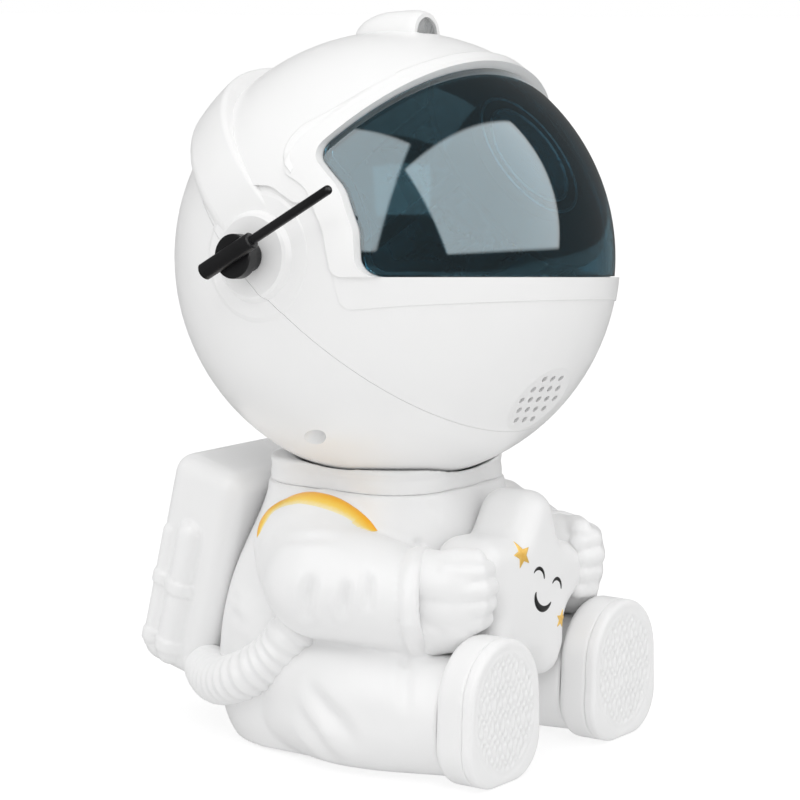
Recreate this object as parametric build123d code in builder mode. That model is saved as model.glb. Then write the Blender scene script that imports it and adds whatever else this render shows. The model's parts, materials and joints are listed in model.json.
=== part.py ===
from build123d import *
from math import atan2, cos, degrees, radians, sin
import os

os.makedirs("parts", exist_ok=True)

# A seated astronaut night-sky projector. Millimetres, +Z up, the front faces
# -Y and the figure's right ear, with its antenna, faces -X. The origin is on
# the table, straight under the centre of the ball-shaped helmet.

# ---------------------------------------------------------------- sizes
head_r = 64.4  # outside of the helmet ball
head_wall = 2.2
head_z = 140.8  # ball centre above the table
head_lean_x = 0.082  # rest tilt of the helmet: top leans to +X and +Y
head_lean_y = 0.059
seam_gap = 0.12  # parting line between the two helmet shells
seam_drop = 6.5  # parting plane's distance below the ear axis
seam_angle = 44.0  # parting plane's slope, rising to the back

visor_r = 63.4
visor_wall = 1.8
visor_gap = 0.25
visor_sill = -5.6  # lower edge of the visor, from the ball centre
hood_rise = 1.0  # the hood over the crown
brow_rise = 1.6  # the raised frame over and beside the visor
sill_rise = 0.4  # the low strip under the visor

arch_rise = 6.2  # the hood's arched band, at its crown
arch_width = 18.8
arch_fillet = 1.6
arch_back_fillet = 4.5

ear_r = 18.0
ear_boss_r = 11.8
ear_face = 65.9  # ear boss face, from the ball centre
ear_y = 1.5
ear_z = 0.0

pod_r = 7.2  # lamp pod on the crown
pod_mouth_r = 6.3
pod_front = 10.8
pod_tail = 14.0
pod_z = 64.0
pod_window_r = 5.0

pivot_r = 2.0  # antenna pivot pin
pivot_inner = 56.0  # inner end of the pivot boss, from the ball centre
pivot_boss_r = 4.2
knob_gap = 0.2
knob_stub_r = 4.2
knob_standoff = 4.4  # the knob disc stands clear of the ear boss
running_gap = 0.05
knob_r = 6.1
knob_t = 3.4
sleeve_r = 2.4
sleeve_length = 19.0
rod_r = 1.3
rod_reach = 39.0  # rod tip from the pivot
antenna_rise = 27.0  # degrees above straight ahead

optic_tilt = 32.0  # projector axis above straight ahead
lens_r = 16.5
lens_seat = 50.1  # lens back face along the projector axis
lens_rim_t = 2.4
lens_dome = 4.6
barrel_wall = 1.6
flange_r = 34.0
flange_t = 1.8
chassis_at = 8.0
chassis_t = 2.4
post_r = 2.0

gear_module = 0.8
disc_teeth = 42
pinion_teeth = 12
grating_teeth = 28
disc_at = 34.0  # gear plane along the projector axis
gear_t = 2.0
disc_x = -8.0
axle_r = 1.5
mesh_1 = -40.0  # direction from the disc to the pinion, degrees
mesh_2 = 25.0  # direction from the pinion to the grating wheel
mesh_slack = 0.05
motor_r = 6.0
laser_r = 4.9
sink_fin = 10.0
sink_x0, sink_x1 = -19.0, 16.0
sink_y0, sink_y1 = -7.5, 22.0
barrel_posts = [(0, 29.5), (-29.5, -4), (5, -29.5), (29.5, 12)]

speaker_tilt = 39.0  # speaker axis below straight ahead
speaker_r = 14.0
grille_hole_r = 1.05
grille_pitch = 4.2
grille_row = 3.75
grille_flat = 1.05  # depth of the flat that the holes open on

speaker_at = 57.0

fit_gap = 0.2  # clearance round what is pressed or dropped in
screw_spots = [(40.0, -35.5), (-40.0, -35.5), (40.0, 38.0), (-40.0, 38.0)]
screw_column_r = 4.2
screw_well_r = 2.75
screw_shank_r = 1.35
screw_seat = 11.0  # head's seat below the seam
screw_grip = 6.0
flange_lap = 3.0  # how far the visor's flange reaches behind the shell
plate_r = 14.0  # steel plate that the neck magnet holds
plate_at = 57.6
plate_t = 2.0

inlet_w = 9.0
inlet_h = 3.3
inlet_z = -15.0
switch_h = 3.5
board_posts = [(22, 12), (-22, 12), (22, -20), (-22, -20)]
button_r = 3.6
button_pitch = 12.0
button_travel = 0.6
panel_y = 61.4  # flat of the control panel behind the head
board_y = 46.0
board_t = 1.6

collar_side = 29.4  # half the width of the rounded square collar
collar_corner = 18.0
collar_back = 3.6
collar_top = 83.4
collar_fillet = 0.8
deck_z = 76.2  # top of the torso, under the collar
well_z = 70.0  # floor of the well that the neck seat turns in
well_r = 25.4
seat_r = 22.5
seat_flange_r = 24.6
ball_gap = 0.3
seat_t = 2.0
magnet_r = 9.0
magnet_t = 3.0
seat_play = 0.1

torso_wall = 2.2
leg_end_r = 16.6
foot_x = 31.2
foot_y = -47.6
boot_w = 36.0
boot_h = 41.0
boot_front = -57.0
boot_round = 2.6
sole_t = 3.2
boot_toe_r = boot_w / 2 - 1
boot_heel_r = 12.5
boot_floor = 0.3
spigot = 3.0  # the boot's plug in the leg
spigot_gap = 0.8

shoulder = (-32.0, 2.5, 57.3)
elbow = (-42.0, -5.0, 53.5)
wrist = (-34.0, -31.0, 48.8)
hand = (-30.0, -41.5, 49.5)
shoulder_r = 19.5
elbow_r = 17.0
wrist_r = 14.6
cuff_r = 15.6
cuff_length = 5.5
palm_r = 11.0
finger_r = 3.0
finger_pitch = 4.15

base_z = 0.8  # underside of the shell; the rubber pads reach the table
base_t = 2.4
base_screws = [(14, -19), (-14, -19), (14, 27), (-14, 27)]
base_screw_r = 1.35
pad_r = 6.0
pad_spots = [(21, -16), (-21, -16), (24, 24), (-24, 24)]

pack_w = 68.0
pack_d = 26.0
pack_h = 66.0
pack_lean = 14.0
pack_y = 53.0
pack_z = 48.0
pack_fillet = 6.0
tank_r = 4.4

hose_r = 5.4
hose_rib_r = 6.7
hose_ribs = 11
hose_inset = 8.0  # the hose's root, in from the pack's side and up from its foot
hose_rise = 4.5

star_point = 40.0  # sharp point of the star before its lobes are rounded
star_waist = 19.0
star_lobe_r = 8.0
star_notch_r = 5.0
star_t = 20.0
star_y = -39.5
star_z = 48.0

# ---------------------------------------------------------------- planes
lean = Vector(head_lean_x, head_lean_y, 1.0).normalized()
across = Vector(1, 0, -lean.X / lean.Z).normalized()
HEAD = Plane(origin=(0, 0, head_z), x_dir=across, z_dir=lean)


def in_head(origin, x_dir, z_dir):
    """A plane given in the helmet's own frame."""
    o = HEAD.from_local_coords(Vector(*origin))
    x = HEAD.from_local_coords(Vector(*x_dir)) - HEAD.origin
    z = HEAD.from_local_coords(Vector(*z_dir)) - HEAD.origin
    return Plane(origin=o, x_dir=x, z_dir=z)


SIDE = in_head((0, 0, 0), (0, 1, 0), (1, 0, 0))  # sketch x = back, y = up
optic = (0, -cos(radians(optic_tilt)), sin(radians(optic_tilt)))
OPTIC = in_head((0, 0, 0), (1, 0, 0), optic)
voice = (0, -cos(radians(speaker_tilt)), -sin(radians(speaker_tilt)))
VOICE = in_head((0, 0, 0), (1, 0, 0), voice)
EAR_RIGHT = in_head((0, ear_y, ear_z), (0, -1, 0), (-1, 0, 0))
EAR_LEFT = in_head((0, ear_y, ear_z), (0, 1, 0), (1, 0, 0))
REAR = in_head((0, 0, 0), (-1, 0, 0), (0, 1, 0))
seam = (0, -sin(radians(seam_angle)), cos(radians(seam_angle)))
SEAM = in_head(tuple(-seam_drop * c for c in seam), (1, 0, 0), seam)
SEAM_ABOVE = SEAM.offset(seam_gap / 2)
SEAM_BELOW = SEAM.offset(-seam_gap / 2)


def radial_profile(plane, points):
    """Revolve a closed (radius, height) outline about the plane's own axis."""
    side = Plane(origin=plane.origin, x_dir=plane.x_dir, z_dir=-plane.y_dir)
    with BuildSketch(side) as outline:
        with BuildLine():
            Polyline(*points, close=True)
        make_face()
    revolve(outline.sketch, axis=Axis(plane.origin, plane.z_dir))


# ---------------------------------------------------------------- helmet forms
visor_corners = [
    (-80, visor_sill),
    (-29.2, visor_sill),
    (-28.4, 7.0),
    (-23.6, 18.2),
    (-13.2, 28.3),
    (-55.0, 78.0),
    (-80, 78.0),
]
visor_radii = [1, 5.5, 12, 14, 4.5, 1, 1]
brow_corners = [
    (-80, -10.8),
    (-40, -13.2),
    (-24.0, -14.6),
    (-20.6, 7.0),
    (-14.2, 18.8),
    (-3.2, 24.6),
    (-45.0, 74.2),
    (-80, 74.2),
]
brow_radii = [1, 60, 3, 14, 9, 5, 1, 1]


def side_profile(corners, radii, shrink=0.0):
    """A rounded outline in the helmet's side plane, run right across it."""
    with BuildSketch(SIDE) as outline:
        with BuildLine():
            FilletPolyline(*corners, radius=radii, close=True)
        make_face()
        if shrink:
            offset(amount=-shrink, mode=Mode.REPLACE)
    return outline.sketch


with BuildPart() as visor_cut:
    extrude(side_profile(visor_corners, visor_radii), amount=head_r + 8, both=True)

frame_corners = [
    (-80, visor_sill),
    (-23.0, visor_sill),
    (-20.6, 7.0),
    (-14.2, 18.8),
    (-3.2, 24.6),
    (-45.0, 74.2),
    (-80, 74.2),
]
frame_radii = [1, 3, 14, 9, 5, 1, 1]
hood_corners = [
    (-80, 14.0),
    (-11.0, 14.5),
    (-3.0, 19.2),
    (5.0, 19.6),
    (13.0, 25.0),
    (60.0, 74.0),
    (-80, 78.0),
]
hood_radii = [1, 4, 6, 6, 8, 1, 1]


def raised_band(corners, radii, rise):
    """The ball grown by rise, only within an outline in the side plane."""
    with Locations(HEAD):
        Sphere(head_r + rise)
    outline = side_profile(corners, radii)
    extrude(outline, amount=head_r + 8, both=True, mode=Mode.INTERSECT)


with BuildPart() as sill_band:
    raised_band(brow_corners, brow_radii, sill_rise)
with BuildPart() as brow_band:
    raised_band(frame_corners, frame_radii, brow_rise)
with BuildPart() as hood_band:
    raised_band(hood_corners, hood_radii, hood_rise)

arch_dir = Vector(0, cos(radians(seam_angle)), sin(radians(seam_angle)))
with BuildPart() as arch_band:
    with Locations(HEAD.from_local_coords(arch_dir * arch_rise)):
        Sphere(head_r)
    with BuildSketch(SIDE):
        with BuildLine():
            o = Vector(seam[1], seam[2]) * -seam_drop
            along = Vector(arch_dir.Y, arch_dir.Z)
            up = Vector(seam[1], seam[2])
            Polyline(
                o - along * 8,
                o + along * 90,
                o + along * 90 + up * arch_width,
                o - along * 8 + up * arch_width,
                close=True,
            )
        make_face()
    extrude(amount=head_r + 8, both=True, mode=Mode.INTERSECT)
    rims = arch_band.edges().filter_by(GeomType.CIRCLE).sort_by(Axis(SEAM.origin, SEAM.z_dir))
    fillet(rims[-1], radius=arch_fillet)
    rims = arch_band.edges().filter_by(GeomType.CIRCLE).sort_by(Axis(SEAM.origin, SEAM.z_dir))
    fillet(rims[0], radius=arch_back_fillet)

POD = in_head((0, 0, pod_z), (0, -1, 0), (1, 0, 0))
with BuildPart() as lamp_pod:
    with BuildSketch(POD):
        with BuildLine():
            Polyline((-pod_tail, 0), (pod_front, 0), (pod_front, pod_mouth_r))
            Spline((pod_front, pod_mouth_r), (0, pod_r), tangents=[(-1, 0.5), (-1, 0)])
            EllipticalCenterArc((0, 0), pod_tail, pod_r, start_angle=90, arc_size=90)
        make_face()
    revolve(axis=Axis(POD.origin, POD.x_dir))


def helmet_outside():
    with Locations(HEAD):
        Sphere(head_r)
    add(arch_band.part)
    add(sill_band.part)
    add(brow_band.part)
    add(hood_band.part)
    add(lamp_pod.part)
    for plane in (EAR_RIGHT, EAR_LEFT):
        radial_profile(
            plane,
            [
                (0, 48),
                (ear_r, 48),
                (ear_r, 61.9),
                (ear_r - 1.2, 62.7),
                (ear_boss_r + 0.9, 63.7),
                (ear_boss_r, ear_face - 0.6),
                (ear_boss_r - 0.8, ear_face),
                (0, ear_face),
            ],
        )


with BuildPart() as head_cavity:
    with Locations(HEAD):
        Sphere(head_r - head_wall)
    with BuildSketch(REAR.offset(-head_r)):
        Circle(head_r + 2)
    extrude(amount=head_r + panel_y - head_wall, mode=Mode.INTERSECT)


def helmet_wall():
    """The whole helmet wall, with the control flat behind and no openings."""
    helmet_outside()
    extrude(rear_flat.sketch, amount=head_r, mode=Mode.SUBTRACT)
    add(head_cavity.part, mode=Mode.SUBTRACT)


with BuildSketch(REAR.offset(panel_y)) as rear_flat:
    Circle(head_r)

UP = (Align.CENTER, Align.CENTER, Align.MIN)
DOWN = (Align.CENTER, Align.CENTER, Align.MAX)

# Screw columns run square to the seam, two low and two high behind.
with BuildPart() as front_columns:
    for x, y in screw_spots:
        out = degrees(atan2(y, x))
        with BuildSketch(SEAM_ABOVE) as column:
            with Locations((x, y)):
                Circle(screw_column_r - 0.4)
            with Locations((x * 1.12, y * 1.12)):
                Rectangle(14, 1.8, rotation=out)
        extrude(column.sketch, amount=screw_grip + 1)
    with Locations(HEAD):
        Sphere(head_r - head_wall / 2, mode=Mode.INTERSECT)
    with Locations(*[SEAM_ABOVE * Pos(x, y, 0) for x, y in screw_spots]):
        Cylinder(screw_shank_r, screw_grip, align=UP, mode=Mode.SUBTRACT)

with BuildPart() as rear_columns:
    for x, y in screw_spots:
        with BuildSketch(SEAM_BELOW) as column:
            with Locations((x, y)):
                Circle(screw_column_r)
            with Locations((x * 1.12, y * 1.12)):
                Rectangle(14, 1.8, rotation=degrees(atan2(y, x)))
        extrude(column.sketch, amount=-head_r)
    with Locations(HEAD):
        Sphere(head_r - head_wall / 2, mode=Mode.INTERSECT)

# ---------------------------------------------------------------- helmet
with BuildPart() as helmet_front_shell:
    helmet_wall()
    add(visor_cut.part, mode=Mode.SUBTRACT)
    split(bisect_by=SEAM_ABOVE, keep=Keep.TOP)
    add(front_columns.part)
    # speaker grille: a small flat with five rows of holes
    with Locations(VOICE.offset(head_r - grille_flat)):
        Cylinder(12.4, 6, align=UP, mode=Mode.SUBTRACT)
    grille = [
        ((n - (count - 1) / 2) * grille_pitch, (2 - row) * grille_row)
        for row, count in enumerate((3, 4, 5, 4, 3))
        for n in range(count)
    ]
    with Locations(*[VOICE * Pos(x, y, head_r - 8) for x, y in grille]):
        Cylinder(grille_hole_r, 12, align=UP, mode=Mode.SUBTRACT)
    # lamp pod's window seat
    with Locations(POD * Pos(pod_front - 1.6, 0, 0) * Rot(0, 90, 0)):
        Cylinder(pod_window_r, 4, align=UP, mode=Mode.SUBTRACT)
    # antenna pivot boss and bore through the right ear
    with Locations(EAR_RIGHT.offset(pivot_inner)):
        Cylinder(pivot_boss_r, ear_face - pivot_inner - 2, align=UP)
        Cylinder(pivot_r + running_gap, 30, align=UP, mode=Mode.SUBTRACT)
helmet_front_shell.part.label = "helmet_front_shell"
export_step(helmet_front_shell.part, "parts/helmet_front_shell.step")

CROWN_DOWN = in_head((0, 0, 0), (1, 0, 0), (0, 0, -1))

with BuildPart() as rear_posts:
    with Locations(*[REAR * Pos(x, z, board_y + board_t) for x, z in board_posts]):
        Cylinder(2.6, 20, align=UP)
    with Locations(CROWN_DOWN.offset(plate_at)):
        Cylinder(plate_r + 2.0, 10, align=UP)
        Cylinder(plate_r + fit_gap / 2, 10, align=UP, mode=Mode.SUBTRACT)
    with Locations(HEAD):
        Sphere(head_r - head_wall / 2, mode=Mode.INTERSECT)
    with BuildSketch(REAR.offset(panel_y - head_wall / 2)) as trim:
        Circle(head_r)
    extrude(trim.sketch, amount=head_r, mode=Mode.SUBTRACT)

with BuildPart() as helmet_rear_shell:
    helmet_wall()
    split(bisect_by=SEAM_BELOW, keep=Keep.BOTTOM)
    add(rear_columns.part)
    add(rear_posts.part)
    with Locations(*[SEAM * Pos(x, y, -screw_seat) for x, y in screw_spots]):
        Cylinder(screw_well_r, 60, align=DOWN, mode=Mode.SUBTRACT)
        Cylinder(screw_shank_r + fit_gap, 60, mode=Mode.SUBTRACT)
    with Locations(*[REAR * Pos(n * button_pitch, 4, panel_y) for n in (-1, 0, 1)]):
        Cylinder(button_r + fit_gap, 8, mode=Mode.SUBTRACT)
    with BuildSketch(REAR.offset(panel_y + 1)) as inlet_hole:
        with Locations((0, inlet_z)):
            SlotOverall(inlet_w + 2 * fit_gap, inlet_h + 2 * fit_gap)
    extrude(inlet_hole.sketch, amount=-8, mode=Mode.SUBTRACT)
helmet_rear_shell.part.label = "helmet_rear_shell"
export_step(helmet_rear_shell.part, "parts/helmet_rear_shell.step")

with BuildPart() as visor_flange:
    with Locations(HEAD):
        Sphere(head_r - head_wall - 0.1)
        Sphere(visor_r - visor_wall - 0.5, mode=Mode.SUBTRACT)
    extrude(
        side_profile(visor_corners, visor_radii, -flange_lap),
        amount=head_r,
        both=True,
        mode=Mode.INTERSECT,
    )
    extrude(
        side_profile(visor_corners, visor_radii, flange_lap / 2),
        amount=head_r,
        both=True,
        mode=Mode.SUBTRACT,
    )

with BuildPart() as visor:
    with Locations(HEAD):
        Sphere(visor_r)
        Sphere(visor_r - visor_wall, mode=Mode.SUBTRACT)
    extrude(
        side_profile(visor_corners, visor_radii, visor_gap),
        amount=head_r,
        both=True,
        mode=Mode.INTERSECT,
    )
    add(visor_flange.part)
visor.part.label = "visor"
export_step(visor.part, "parts/visor.step")

with BuildPart() as brow_lamp:
    with Locations(POD * Pos(pod_front - 1.6, 0, 0) * Rot(0, 90, 0)):
        Cylinder(pod_window_r, 0.9, align=UP)
    rims = brow_lamp.edges().filter_by(GeomType.CIRCLE).sort_by(Axis(POD.origin, POD.x_dir))
    fillet(rims[-1], 0.5)
brow_lamp.part.label = "brow_lamp"
export_step(brow_lamp.part, "parts/brow_lamp.step")

# ---------------------------------------------------------------- antenna
with BuildPart() as antenna_knob:
    with Locations(EAR_RIGHT.offset(ear_face + knob_gap + knob_standoff)):
        Cylinder(knob_r, knob_t, align=UP)
    rims = antenna_knob.edges().filter_by(GeomType.CIRCLE)
    fillet(rims.sort_by(Axis(EAR_RIGHT.origin, EAR_RIGHT.z_dir))[-1], 0.5)
    with Locations(EAR_RIGHT.offset(ear_face + knob_gap)):
        Cylinder(knob_stub_r, knob_standoff, align=UP)
        Cylinder(pivot_r, ear_face + 2 * knob_gap - pivot_inner, align=DOWN)
        Cylinder(pivot_r - 0.7, ear_face + 2 * knob_gap - pivot_inner + 1.6, align=DOWN)
BOOM = Plane(
    origin=EAR_RIGHT.offset(ear_face + knob_gap + knob_standoff + knob_t + sleeve_r - 0.9).origin,
    x_dir=EAR_RIGHT.z_dir,
    z_dir=EAR_RIGHT.x_dir * cos(radians(antenna_rise)) + HEAD.z_dir * sin(radians(antenna_rise)),
)
with BuildPart() as antenna_sleeve:
    with Locations(BOOM):
        Cylinder(sleeve_r, sleeve_length)
    chamfer(antenna_sleeve.edges().filter_by(GeomType.CIRCLE), 0.35)
    with Locations(BOOM.offset(sleeve_length / 2 - 5)):
        Cylinder(rod_r, 6, align=UP, mode=Mode.SUBTRACT)
antenna_sleeve.part.label = "antenna_sleeve"
export_step(antenna_sleeve.part, "parts/antenna_sleeve.step")

with BuildPart() as sleeve_channel:
    with Locations(BOOM):
        Cylinder(sleeve_r, sleeve_length + 4)
with BuildPart() as antenna_knob_body:
    add(antenna_knob.part)
    add(sleeve_channel.part, mode=Mode.SUBTRACT)
antenna_knob_body.part.label = "antenna_knob"
export_step(antenna_knob_body.part, "parts/antenna_knob.step")

with BuildPart() as antenna_rod:
    with Locations(BOOM.offset(sleeve_length / 2 - 5)):
        Cylinder(rod_r, rod_reach - sleeve_length / 2 + 5, align=UP)
    rims = antenna_rod.edges().filter_by(GeomType.CIRCLE).sort_by(Axis(BOOM.origin, BOOM.z_dir))
    fillet(rims[-1], rod_r * 0.9)
antenna_rod.part.label = "antenna_rod"
export_step(antenna_rod.part, "parts/antenna_rod.step")

with BuildPart() as antenna_clip:
    with Locations(EAR_RIGHT.offset(pivot_inner - knob_gap)):
        Cylinder(pivot_r + 2.2, 1.0, align=DOWN)
        Cylinder(pivot_r - 0.7, 1.0, align=DOWN, mode=Mode.SUBTRACT)
antenna_clip.part.label = "antenna_clip"
export_step(antenna_clip.part, "parts/antenna_clip.step")

# ---------------------------------------------------------------- optics
disc_r = gear_module * disc_teeth / 2
pinion_r = gear_module * pinion_teeth / 2
grating_r = gear_module * grating_teeth / 2
pinion_x = disc_x + (disc_r + pinion_r + mesh_slack) * cos(radians(mesh_1))
pinion_y = (disc_r + pinion_r + mesh_slack) * sin(radians(mesh_1))
grating_x = pinion_x + (grating_r + pinion_r + mesh_slack) * cos(radians(mesh_2))
grating_y = pinion_y + (grating_r + pinion_r + mesh_slack) * sin(radians(mesh_2))
pinion_phase = mesh_1 + 180 + 180 / pinion_teeth
lead = (pinion_phase - mesh_2) % (360 / pinion_teeth)
grating_phase = mesh_2 + 180 - lead * pinion_teeth / grating_teeth + 180 / grating_teeth


def gear(plane, x, y, teeth, phase, thick):
    pitch = gear_module * teeth / 2
    root = pitch - 1.1 * gear_module
    tall = 1.9 * gear_module
    with BuildSketch(plane) as wheel:
        with Locations((x, y)):
            Circle(root)
            with PolarLocations(root - 0.15, teeth, start_angle=phase):
                Polygon(
                    (0, -1.0 * gear_module),
                    (tall + 0.15, -0.3 * gear_module),
                    (tall + 0.15, 0.3 * gear_module),
                    (0, 1.0 * gear_module),
                    align=None,
                )
    extrude(wheel.sketch, amount=thick)


with BuildPart() as chassis:
    with Locations(OPTIC.offset(chassis_at)):
        Cylinder(head_r, chassis_t, align=UP)
    with Locations(HEAD):
        Sphere(head_r - head_wall - running_gap, mode=Mode.INTERSECT)
    with Locations(OPTIC.offset(chassis_at)):
        with PolarLocations(45, 4, start_angle=45):
            Cylinder(9, chassis_t * 3, mode=Mode.SUBTRACT)
    with Locations(VOICE.offset(30)):
        Cylinder(speaker_r + 1, 40, align=UP, mode=Mode.SUBTRACT)
    with Locations(*[SEAM * Pos(x * 1.12, y * 1.12, 0) for x, y in screw_spots]):
        Cylinder(screw_column_r + 5, 40, mode=Mode.SUBTRACT)
    with Locations(OPTIC * Pos(disc_x, 0, chassis_at + chassis_t)):
        Cylinder(axle_r, disc_at + gear_t + 0.6 - chassis_at - chassis_t, align=UP)
    with Locations(OPTIC * Pos(grating_x, grating_y, chassis_at + chassis_t)):
        Cylinder(6.4, 4, align=UP)
        Cylinder(5.0, 4, align=UP, mode=Mode.SUBTRACT)
chassis.part.label = "chassis"
export_step(chassis.part, "parts/chassis.step")

top = chassis_at + chassis_t
with BuildPart(OPTIC) as heatsink:
    with Locations(((sink_x0 + sink_x1) / 2, (sink_y0 + sink_y1) / 2, top)):
        Box(sink_x1 - sink_x0, sink_y1 - sink_y0, sink_fin + 2.5, align=UP)
    with Locations(*[(sink_x0 + 4 + 4 * n, (sink_y0 + sink_y1) / 2, top) for n in range(8)]):
        Box(2.2, 40, sink_fin, align=UP, mode=Mode.SUBTRACT)
    with Locations((disc_x, 0, top)):
        Cylinder(axle_r + 1.6, 30, align=UP, mode=Mode.SUBTRACT)
heatsink.part.label = "heatsink"
export_step(heatsink.part, "parts/heatsink.step")

led_at = top + sink_fin + 2.5
with BuildPart(OPTIC) as led_board:
    with Locations((3, 4, led_at)):
        Box(17, 19, 1.2, align=UP)
    with Locations((0, 0, led_at + 1.2)):
        Box(5, 5, 0.8, align=UP)
        with Locations((0, 0, 0.8)):
            Sphere(2.0)
    with Locations((disc_x, 0, led_at)):
        Cylinder(axle_r + 0.8, 10, mode=Mode.SUBTRACT)
led_board.part.label = "led_board"
export_step(led_board.part, "parts/led_board.step")

with BuildPart() as gear_motor:
    with BuildSketch(OPTIC.offset(top)) as can:
        with Locations((pinion_x, pinion_y)):
            Circle(motor_r)
            Rectangle(2 * motor_r, 2 * motor_r - 2.4, mode=Mode.INTERSECT)
    extrude(can.sketch, amount=disc_at - top - 2.0)
    with Locations(OPTIC * Pos(pinion_x, pinion_y, disc_at - 2.0)):
        Cylinder(2.2, 0.8, align=UP)
gear_motor.part.label = "gear_motor"
export_step(gear_motor.part, "parts/gear_motor.step")

with BuildPart() as motor_pinion:
    gear(OPTIC.offset(disc_at - 0.4), pinion_x, pinion_y, pinion_teeth, pinion_phase, gear_t + 0.8)
    with Locations(OPTIC * Pos(pinion_x, pinion_y, disc_at + gear_t + 0.4)):
        Cylinder(1.6, 1.2, align=UP)
motor_pinion.part.label = "motor_pinion"
export_step(motor_pinion.part, "parts/motor_pinion.step")

with BuildPart() as ripple_disc:
    gear(OPTIC.offset(disc_at), disc_x, 0, disc_teeth, mesh_1, gear_t)
    with Locations(OPTIC * Pos(disc_x, 0, disc_at + gear_t)):
        Cylinder(disc_r - 2.6, 1.0, align=DOWN, mode=Mode.SUBTRACT)
        Cylinder(3.2, 1.0, align=DOWN)
        Cylinder(axle_r + running_gap, 10, mode=Mode.SUBTRACT)
ripple_disc.part.label = "ripple_disc"
export_step(ripple_disc.part, "parts/ripple_disc.step")

with BuildPart(OPTIC) as laser_module:
    with Locations((grating_x, grating_y, top)):
        Cylinder(laser_r, disc_at - top - 3.0, align=UP)
        Cylinder(2.6, disc_at + gear_t - top + 0.8, align=UP)
        with Locations((0, 0, disc_at - top - 6.0)):
            Cylinder(1.2, 20, align=UP, mode=Mode.SUBTRACT)
laser_module.part.label = "laser_module"
export_step(laser_module.part, "parts/laser_module.step")

with BuildPart() as grating_wheel:
    gear(OPTIC.offset(disc_at), grating_x, grating_y, grating_teeth, grating_phase, gear_t)
    with Locations(OPTIC * Pos(grating_x, grating_y, disc_at)):
        Cylinder(2.6 + running_gap, 10, mode=Mode.SUBTRACT)
grating_wheel.part.label = "grating_wheel"
export_step(grating_wheel.part, "parts/grating_wheel.step")

barrel_back = disc_at + gear_t + 4.0
flange_back = lens_seat - flange_t
with BuildPart(OPTIC) as lens_barrel:
    with Locations((0, 0, flange_back)):
        Cylinder(flange_r, flange_t, align=UP)
    with Locations((0, 0, barrel_back)):
        Cylinder(lens_r + barrel_wall, lens_seat - barrel_back, align=UP)
        Cylinder(lens_r - 1.6, 30, align=UP, mode=Mode.SUBTRACT)
    with Locations((0, 0, lens_seat)):
        Cylinder(lens_r + barrel_wall + 1.2, lens_rim_t, align=UP)
        Cylinder(lens_r + 0.05, lens_rim_t, align=UP, mode=Mode.SUBTRACT)
    with Locations((grating_x, grating_y, flange_back)):
        Cylinder(3.2, 10, mode=Mode.SUBTRACT)
    with Locations(*[(x, y, top) for x, y in barrel_posts]):
        Cylinder(post_r, flange_back - top, align=UP)
lens_barrel.part.label = "lens_barrel"
export_step(lens_barrel.part, "parts/lens_barrel.step")

with BuildPart() as lens:
    radial_profile(
        OPTIC,
        [(0, lens_seat), (lens_r, lens_seat), (lens_r, lens_seat + lens_rim_t), (0, lens_seat + lens_rim_t)],
    )
    crown = (lens_r**2 + lens_dome**2) / (2 * lens_dome)
with BuildPart() as lens_crown:
    with Locations(OPTIC.offset(lens_seat + lens_rim_t + lens_dome - crown)):
        Sphere(crown)
    with BuildSketch(OPTIC.offset(lens_seat + lens_rim_t)) as above:
        Circle(lens_r + 1)
    extrude(above.sketch, amount=lens_dome + 2, mode=Mode.INTERSECT)
with BuildPart() as projection_lens:
    add(lens.part)
    add(lens_crown.part)
projection_lens.part.label = "projection_lens"
export_step(projection_lens.part, "parts/projection_lens.step")

with BuildPart(OPTIC) as lens_ring:
    with Locations((0, 0, lens_seat + lens_rim_t)):
        Cylinder(lens_r + barrel_wall + 1.2, 1.1, align=UP)
        Cylinder(lens_r - 0.9, 1.1, align=UP, mode=Mode.SUBTRACT)
with BuildPart() as lens_bezel:
    add(lens_ring.part)
    add(lens_crown.part, mode=Mode.SUBTRACT)
lens_bezel.part.label = "lens_bezel"
export_step(lens_bezel.part, "parts/lens_bezel.step")

# ---------------------------------------------------------------- speaker
with BuildPart() as speaker:
    radial_profile(
        VOICE,
        [
            (0, speaker_at - 11),
            (7.5, speaker_at - 11),
            (7.5, speaker_at - 6.5),
            (11.5, speaker_at - 1.4),
            (speaker_r, speaker_at - 1.4),
            (speaker_r, speaker_at),
            (12.4, speaker_at),
            (11.6, speaker_at - 0.6),
            (4.2, speaker_at - 3.4),
            (3.4, speaker_at - 2.4),
            (0, speaker_at - 1.9),
        ],
    )
speaker.part.label = "speaker"
export_step(speaker.part, "parts/speaker.step")

with BuildPart() as speaker_gasket:
    with Locations(VOICE.offset(speaker_at)):
        Cylinder(speaker_r, 10, align=UP)
        Cylinder(speaker_r - 1.6, 10, align=UP, mode=Mode.SUBTRACT)
    with Locations(HEAD):
        Sphere(head_r - head_wall, mode=Mode.INTERSECT)
speaker_gasket.part.label = "speaker_gasket"
export_step(speaker_gasket.part, "parts/speaker_gasket.step")

# ---------------------------------------------------------------- controls
with BuildPart(REAR) as main_board:
    with Locations((0, -4, board_y)):
        Box(52, 40, board_t, align=UP)
    with Locations(*[(n * button_pitch, 4, board_y + board_t) for n in (-1, 0, 1)]):
        Box(6, 6, switch_h - 0.8, align=UP)
        with Locations((0, 0, switch_h - 0.8)):
            Cylinder(1.6, 0.8, align=UP)
    with Locations((8, -6, board_y)):
        Box(9, 9, 1.4, align=DOWN)
main_board.part.label = "main_board"
export_step(main_board.part, "parts/main_board.step")

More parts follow.
